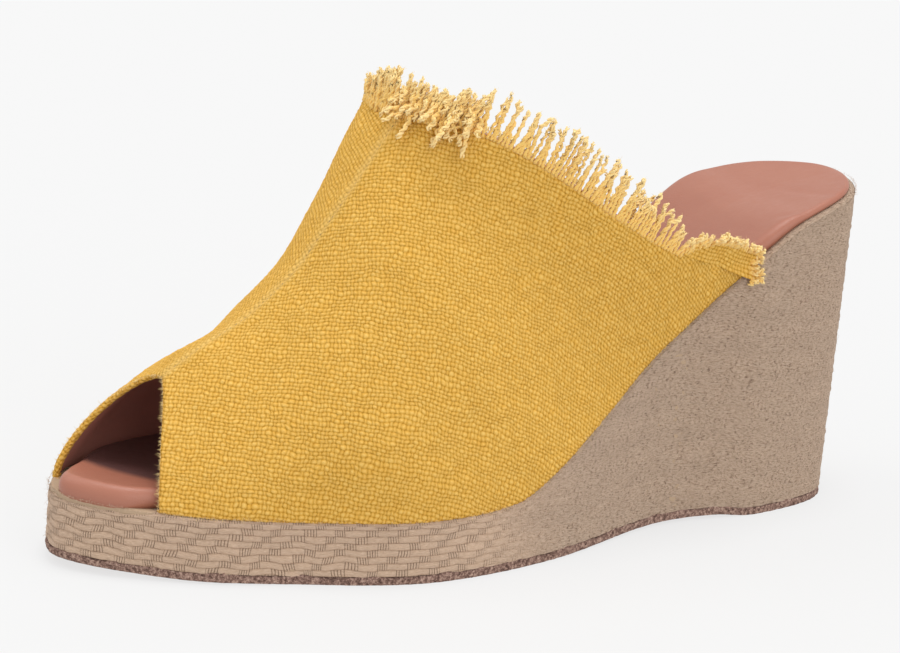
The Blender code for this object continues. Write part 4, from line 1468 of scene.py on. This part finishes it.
def make_jute_hairs(material):
    """Stray fibres on the jute, most along its top edge."""
    pick = np.random.default_rng(41)
    points, out, _ = perimeter(JUTE_SKIN, 0.5)
    strands = []
    for _ in range(JUTE_HAIR_COUNT):
        i = pick.integers(len(points))
        along = points[i, 1]
        foot = foot_along(along)
        low = underside(foot) + OUTSOLE
        high = top_edge(along)
        share = 1.0 if pick.random() < TOP_HAIRS else pick.random()
        up = low + (high - low) * share
        here = foot + (along - foot) * share
        away = np.array((out[i, 0], -out[i, 1], 0))
        if share < 1:
            way = unit(away * 0.5 + unit(pick.normal(size=3)) * np.array((0.6, 1.0, 0.8)))
        else:
            way = unit(away * 0.3 + unit(pick.normal(size=3)) + np.array((0, 0, 0.2)))
        strands.append(hair(place(points[i, 0], here, up) + away * 0.1, way,
                            pick.uniform(0.35, 0.95 if share == 1 else 1.6), 0.04, pick))
    return tubes("jute_fibres", strands, material, sides=3)


def make_canvas_fuzz(grid, normals, material):
    """Pale fibres along the fold of the toe opening and the canvas's foot."""
    pick = np.random.default_rng(51)
    strands = []
    edge_line = grid[0]
    for _ in range(FOLD_FUZZ):
        k = pick.integers(len(edge_line) - 1)
        blend = pick.random()
        foot = edge_line[k] * (1 - blend) + edge_line[k + 1] * blend
        out = unit(grid[0, k] - grid[1, k])
        way = unit(out + normals[0, k] * pick.normal() * 0.6 + pick.normal(size=3) * 0.5)
        strands.append(hair(foot + out * FOLD_RADIUS * 0.8, way, pick.uniform(0.4, 1.2), 0.05, pick))
    for _ in range(FOOT_FUZZ):
        i = pick.integers(1, len(grid) - 1)
        column, side = ((0, 1), (-1, -1))[pick.integers(2)]
        blend = pick.random()
        foot = grid[i, column] * (1 - blend) + grid[i - 1, column] * blend
        way = unit(np.array((side * 0.6, 0, -0.3)) + pick.normal(size=3) * 0.5)
        strands.append(hair(foot, way, pick.uniform(0.4, 1.3), 0.05, pick))
    return tubes("canvas_fibres", strands, material, sides=3)


FLOOR_REACH = 6000.0
FLOOR_GLOW = 0.713      # a lit sweep, so that the shoe casts next to no shadow


def make_floor():
    """The photo's plain white ground."""
    n = Nodes("floor")
    n.shader.inputs["Emission Color"].default_value = (1.0, 1.0, 1.0, 1.0)
    n.shader.inputs["Emission Strength"].default_value = FLOOR_GLOW
    corners = [(-FLOOR_REACH, -FLOOR_REACH, 0), (FLOOR_REACH, -FLOOR_REACH, 0),
               (FLOOR_REACH, FLOOR_REACH, 0), (-FLOOR_REACH, FLOOR_REACH, 0)]
    floor = mesh_object("floor", corners, [(0, 1, 2, 3)],
                        n.finish((0.16, 0.16, 0.16), 0.9, specular=0.0))


# Camera, in the frame
AZIMUTH = 62.52
ELEVATION = 15.28
ROLL = 2.36
CAMERA = (769.5, -407.1, 291.1)
LENS = 135.9


def make_camera():
    """The photo's angle: the shoe seen from its little toe's side, a little from the front."""
    a, e, r = (math.radians(x) for x in (AZIMUTH, ELEVATION, ROLL))
    right = Vector((math.cos(a), math.sin(a), 0))
    back = Vector((math.sin(a) * math.cos(e), -math.cos(a) * math.cos(e), math.sin(e)))
    up = back.cross(right)
    rolled = right * math.cos(r) + up * math.sin(r)
    upward = up * math.cos(r) - right * math.sin(r)
    data = bpy.data.cameras.new("camera")
    data.lens = LENS
    data.sensor_width = 36
    data.clip_end = 100
    camera = bpy.data.objects.new("camera", data)
    bpy.context.scene.collection.objects.link(camera)
    turned = Matrix((rolled, upward, back)).transposed().to_4x4()
    turned.translation = Vector(CAMERA) * METRE
    camera.matrix_world = turned
    bpy.context.scene.camera = camera


def sun(name, towards, strength, angle):
    data = bpy.data.lights.new(name, "SUN")
    data.energy = strength
    data.angle = math.radians(angle)
    light = bpy.data.objects.new(name, data)
    light.rotation_mode = "QUATERNION"
    light.rotation_quaternion = Vector(towards).to_track_quat("-Z", "Y")
    bpy.context.scene.collection.objects.link(light)


def make_lights():
    world = bpy.data.worlds.new("studio")
    world.use_nodes = True
    world.node_tree.nodes["Background"].inputs[0].default_value = (1, 1, 1, 1)
    world.node_tree.nodes["Background"].inputs[1].default_value = 0.80
    bpy.context.scene.world = world
    sun("key", (0.05, -0.10, -1.0), 1.25, 22)
    sun("side", (-0.80, -0.16, -0.38), 0.75, 45)
    sun("front", (0.42, 0.55, -0.75), 0.45, 30)
    bpy.context.scene.view_settings.view_transform = "Standard"
    bpy.context.scene.view_settings.look = "None"


make_camera()
make_lights()
make_floor()

surface, surface_normals = upper_surface()
wide, wide_normals = extend(surface, surface_normals)
canvas_material = canvas()
crown = 2 + HALF_COLUMNS - 1
lateral = make_panel("canvas_lateral", wide[:, :crown + 1], wide_normals[:, :crown + 1],
                     False, canvas_material)
medial = make_panel("canvas_medial", wide[:, crown:], wide_normals[:, crown:],
                    True, canvas_material)
lining = make_lining(surface, surface_normals,
                     leather("lining_leather", (0.54, 0.225, 0.172), (0.38, 0.145, 0.112), 0.5))
# the footbed's last colour is a painted shade deep under the toes
insole = make_insole(surface, surface_normals,
                     leather("insole_skin", (0.405, 0.166, 0.107), (0.360, 0.128, 0.080), 0.42,
                             painted_shade=(0.105, 0.047, 0.042)))
jute_material = jute()
wrap = make_jute(jute_material)
outsole = make_outsole(crumb_rubber())
canvas_fibre = hair_material("canvas_fibre", (0.94, 0.72, 0.34))
fringe, fringe_fibres = make_fringe(surface, surface_normals, yarn(), canvas_fibre)
flap = make_wing(surface, surface_normals, canvas_material)
jute_hairs = make_jute_hairs(hair_material("jute_fibre", (0.62, 0.47, 0.35)))
fuzz = make_canvas_fuzz(surface, surface_normals, canvas_fibre)

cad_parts["wedge"].data.materials.clear()
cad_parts["wedge"].data.materials.append(hair_material("jute_body", (0.42, 0.30, 0.20)))

for piece in (lateral, medial, lining, insole, wrap, outsole, fringe, fringe_fibres, flap,
              jute_hairs, fuzz):
    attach(piece, "root")
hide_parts("upper")
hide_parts("insole")
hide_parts("outsole")
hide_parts("collar_fringe")
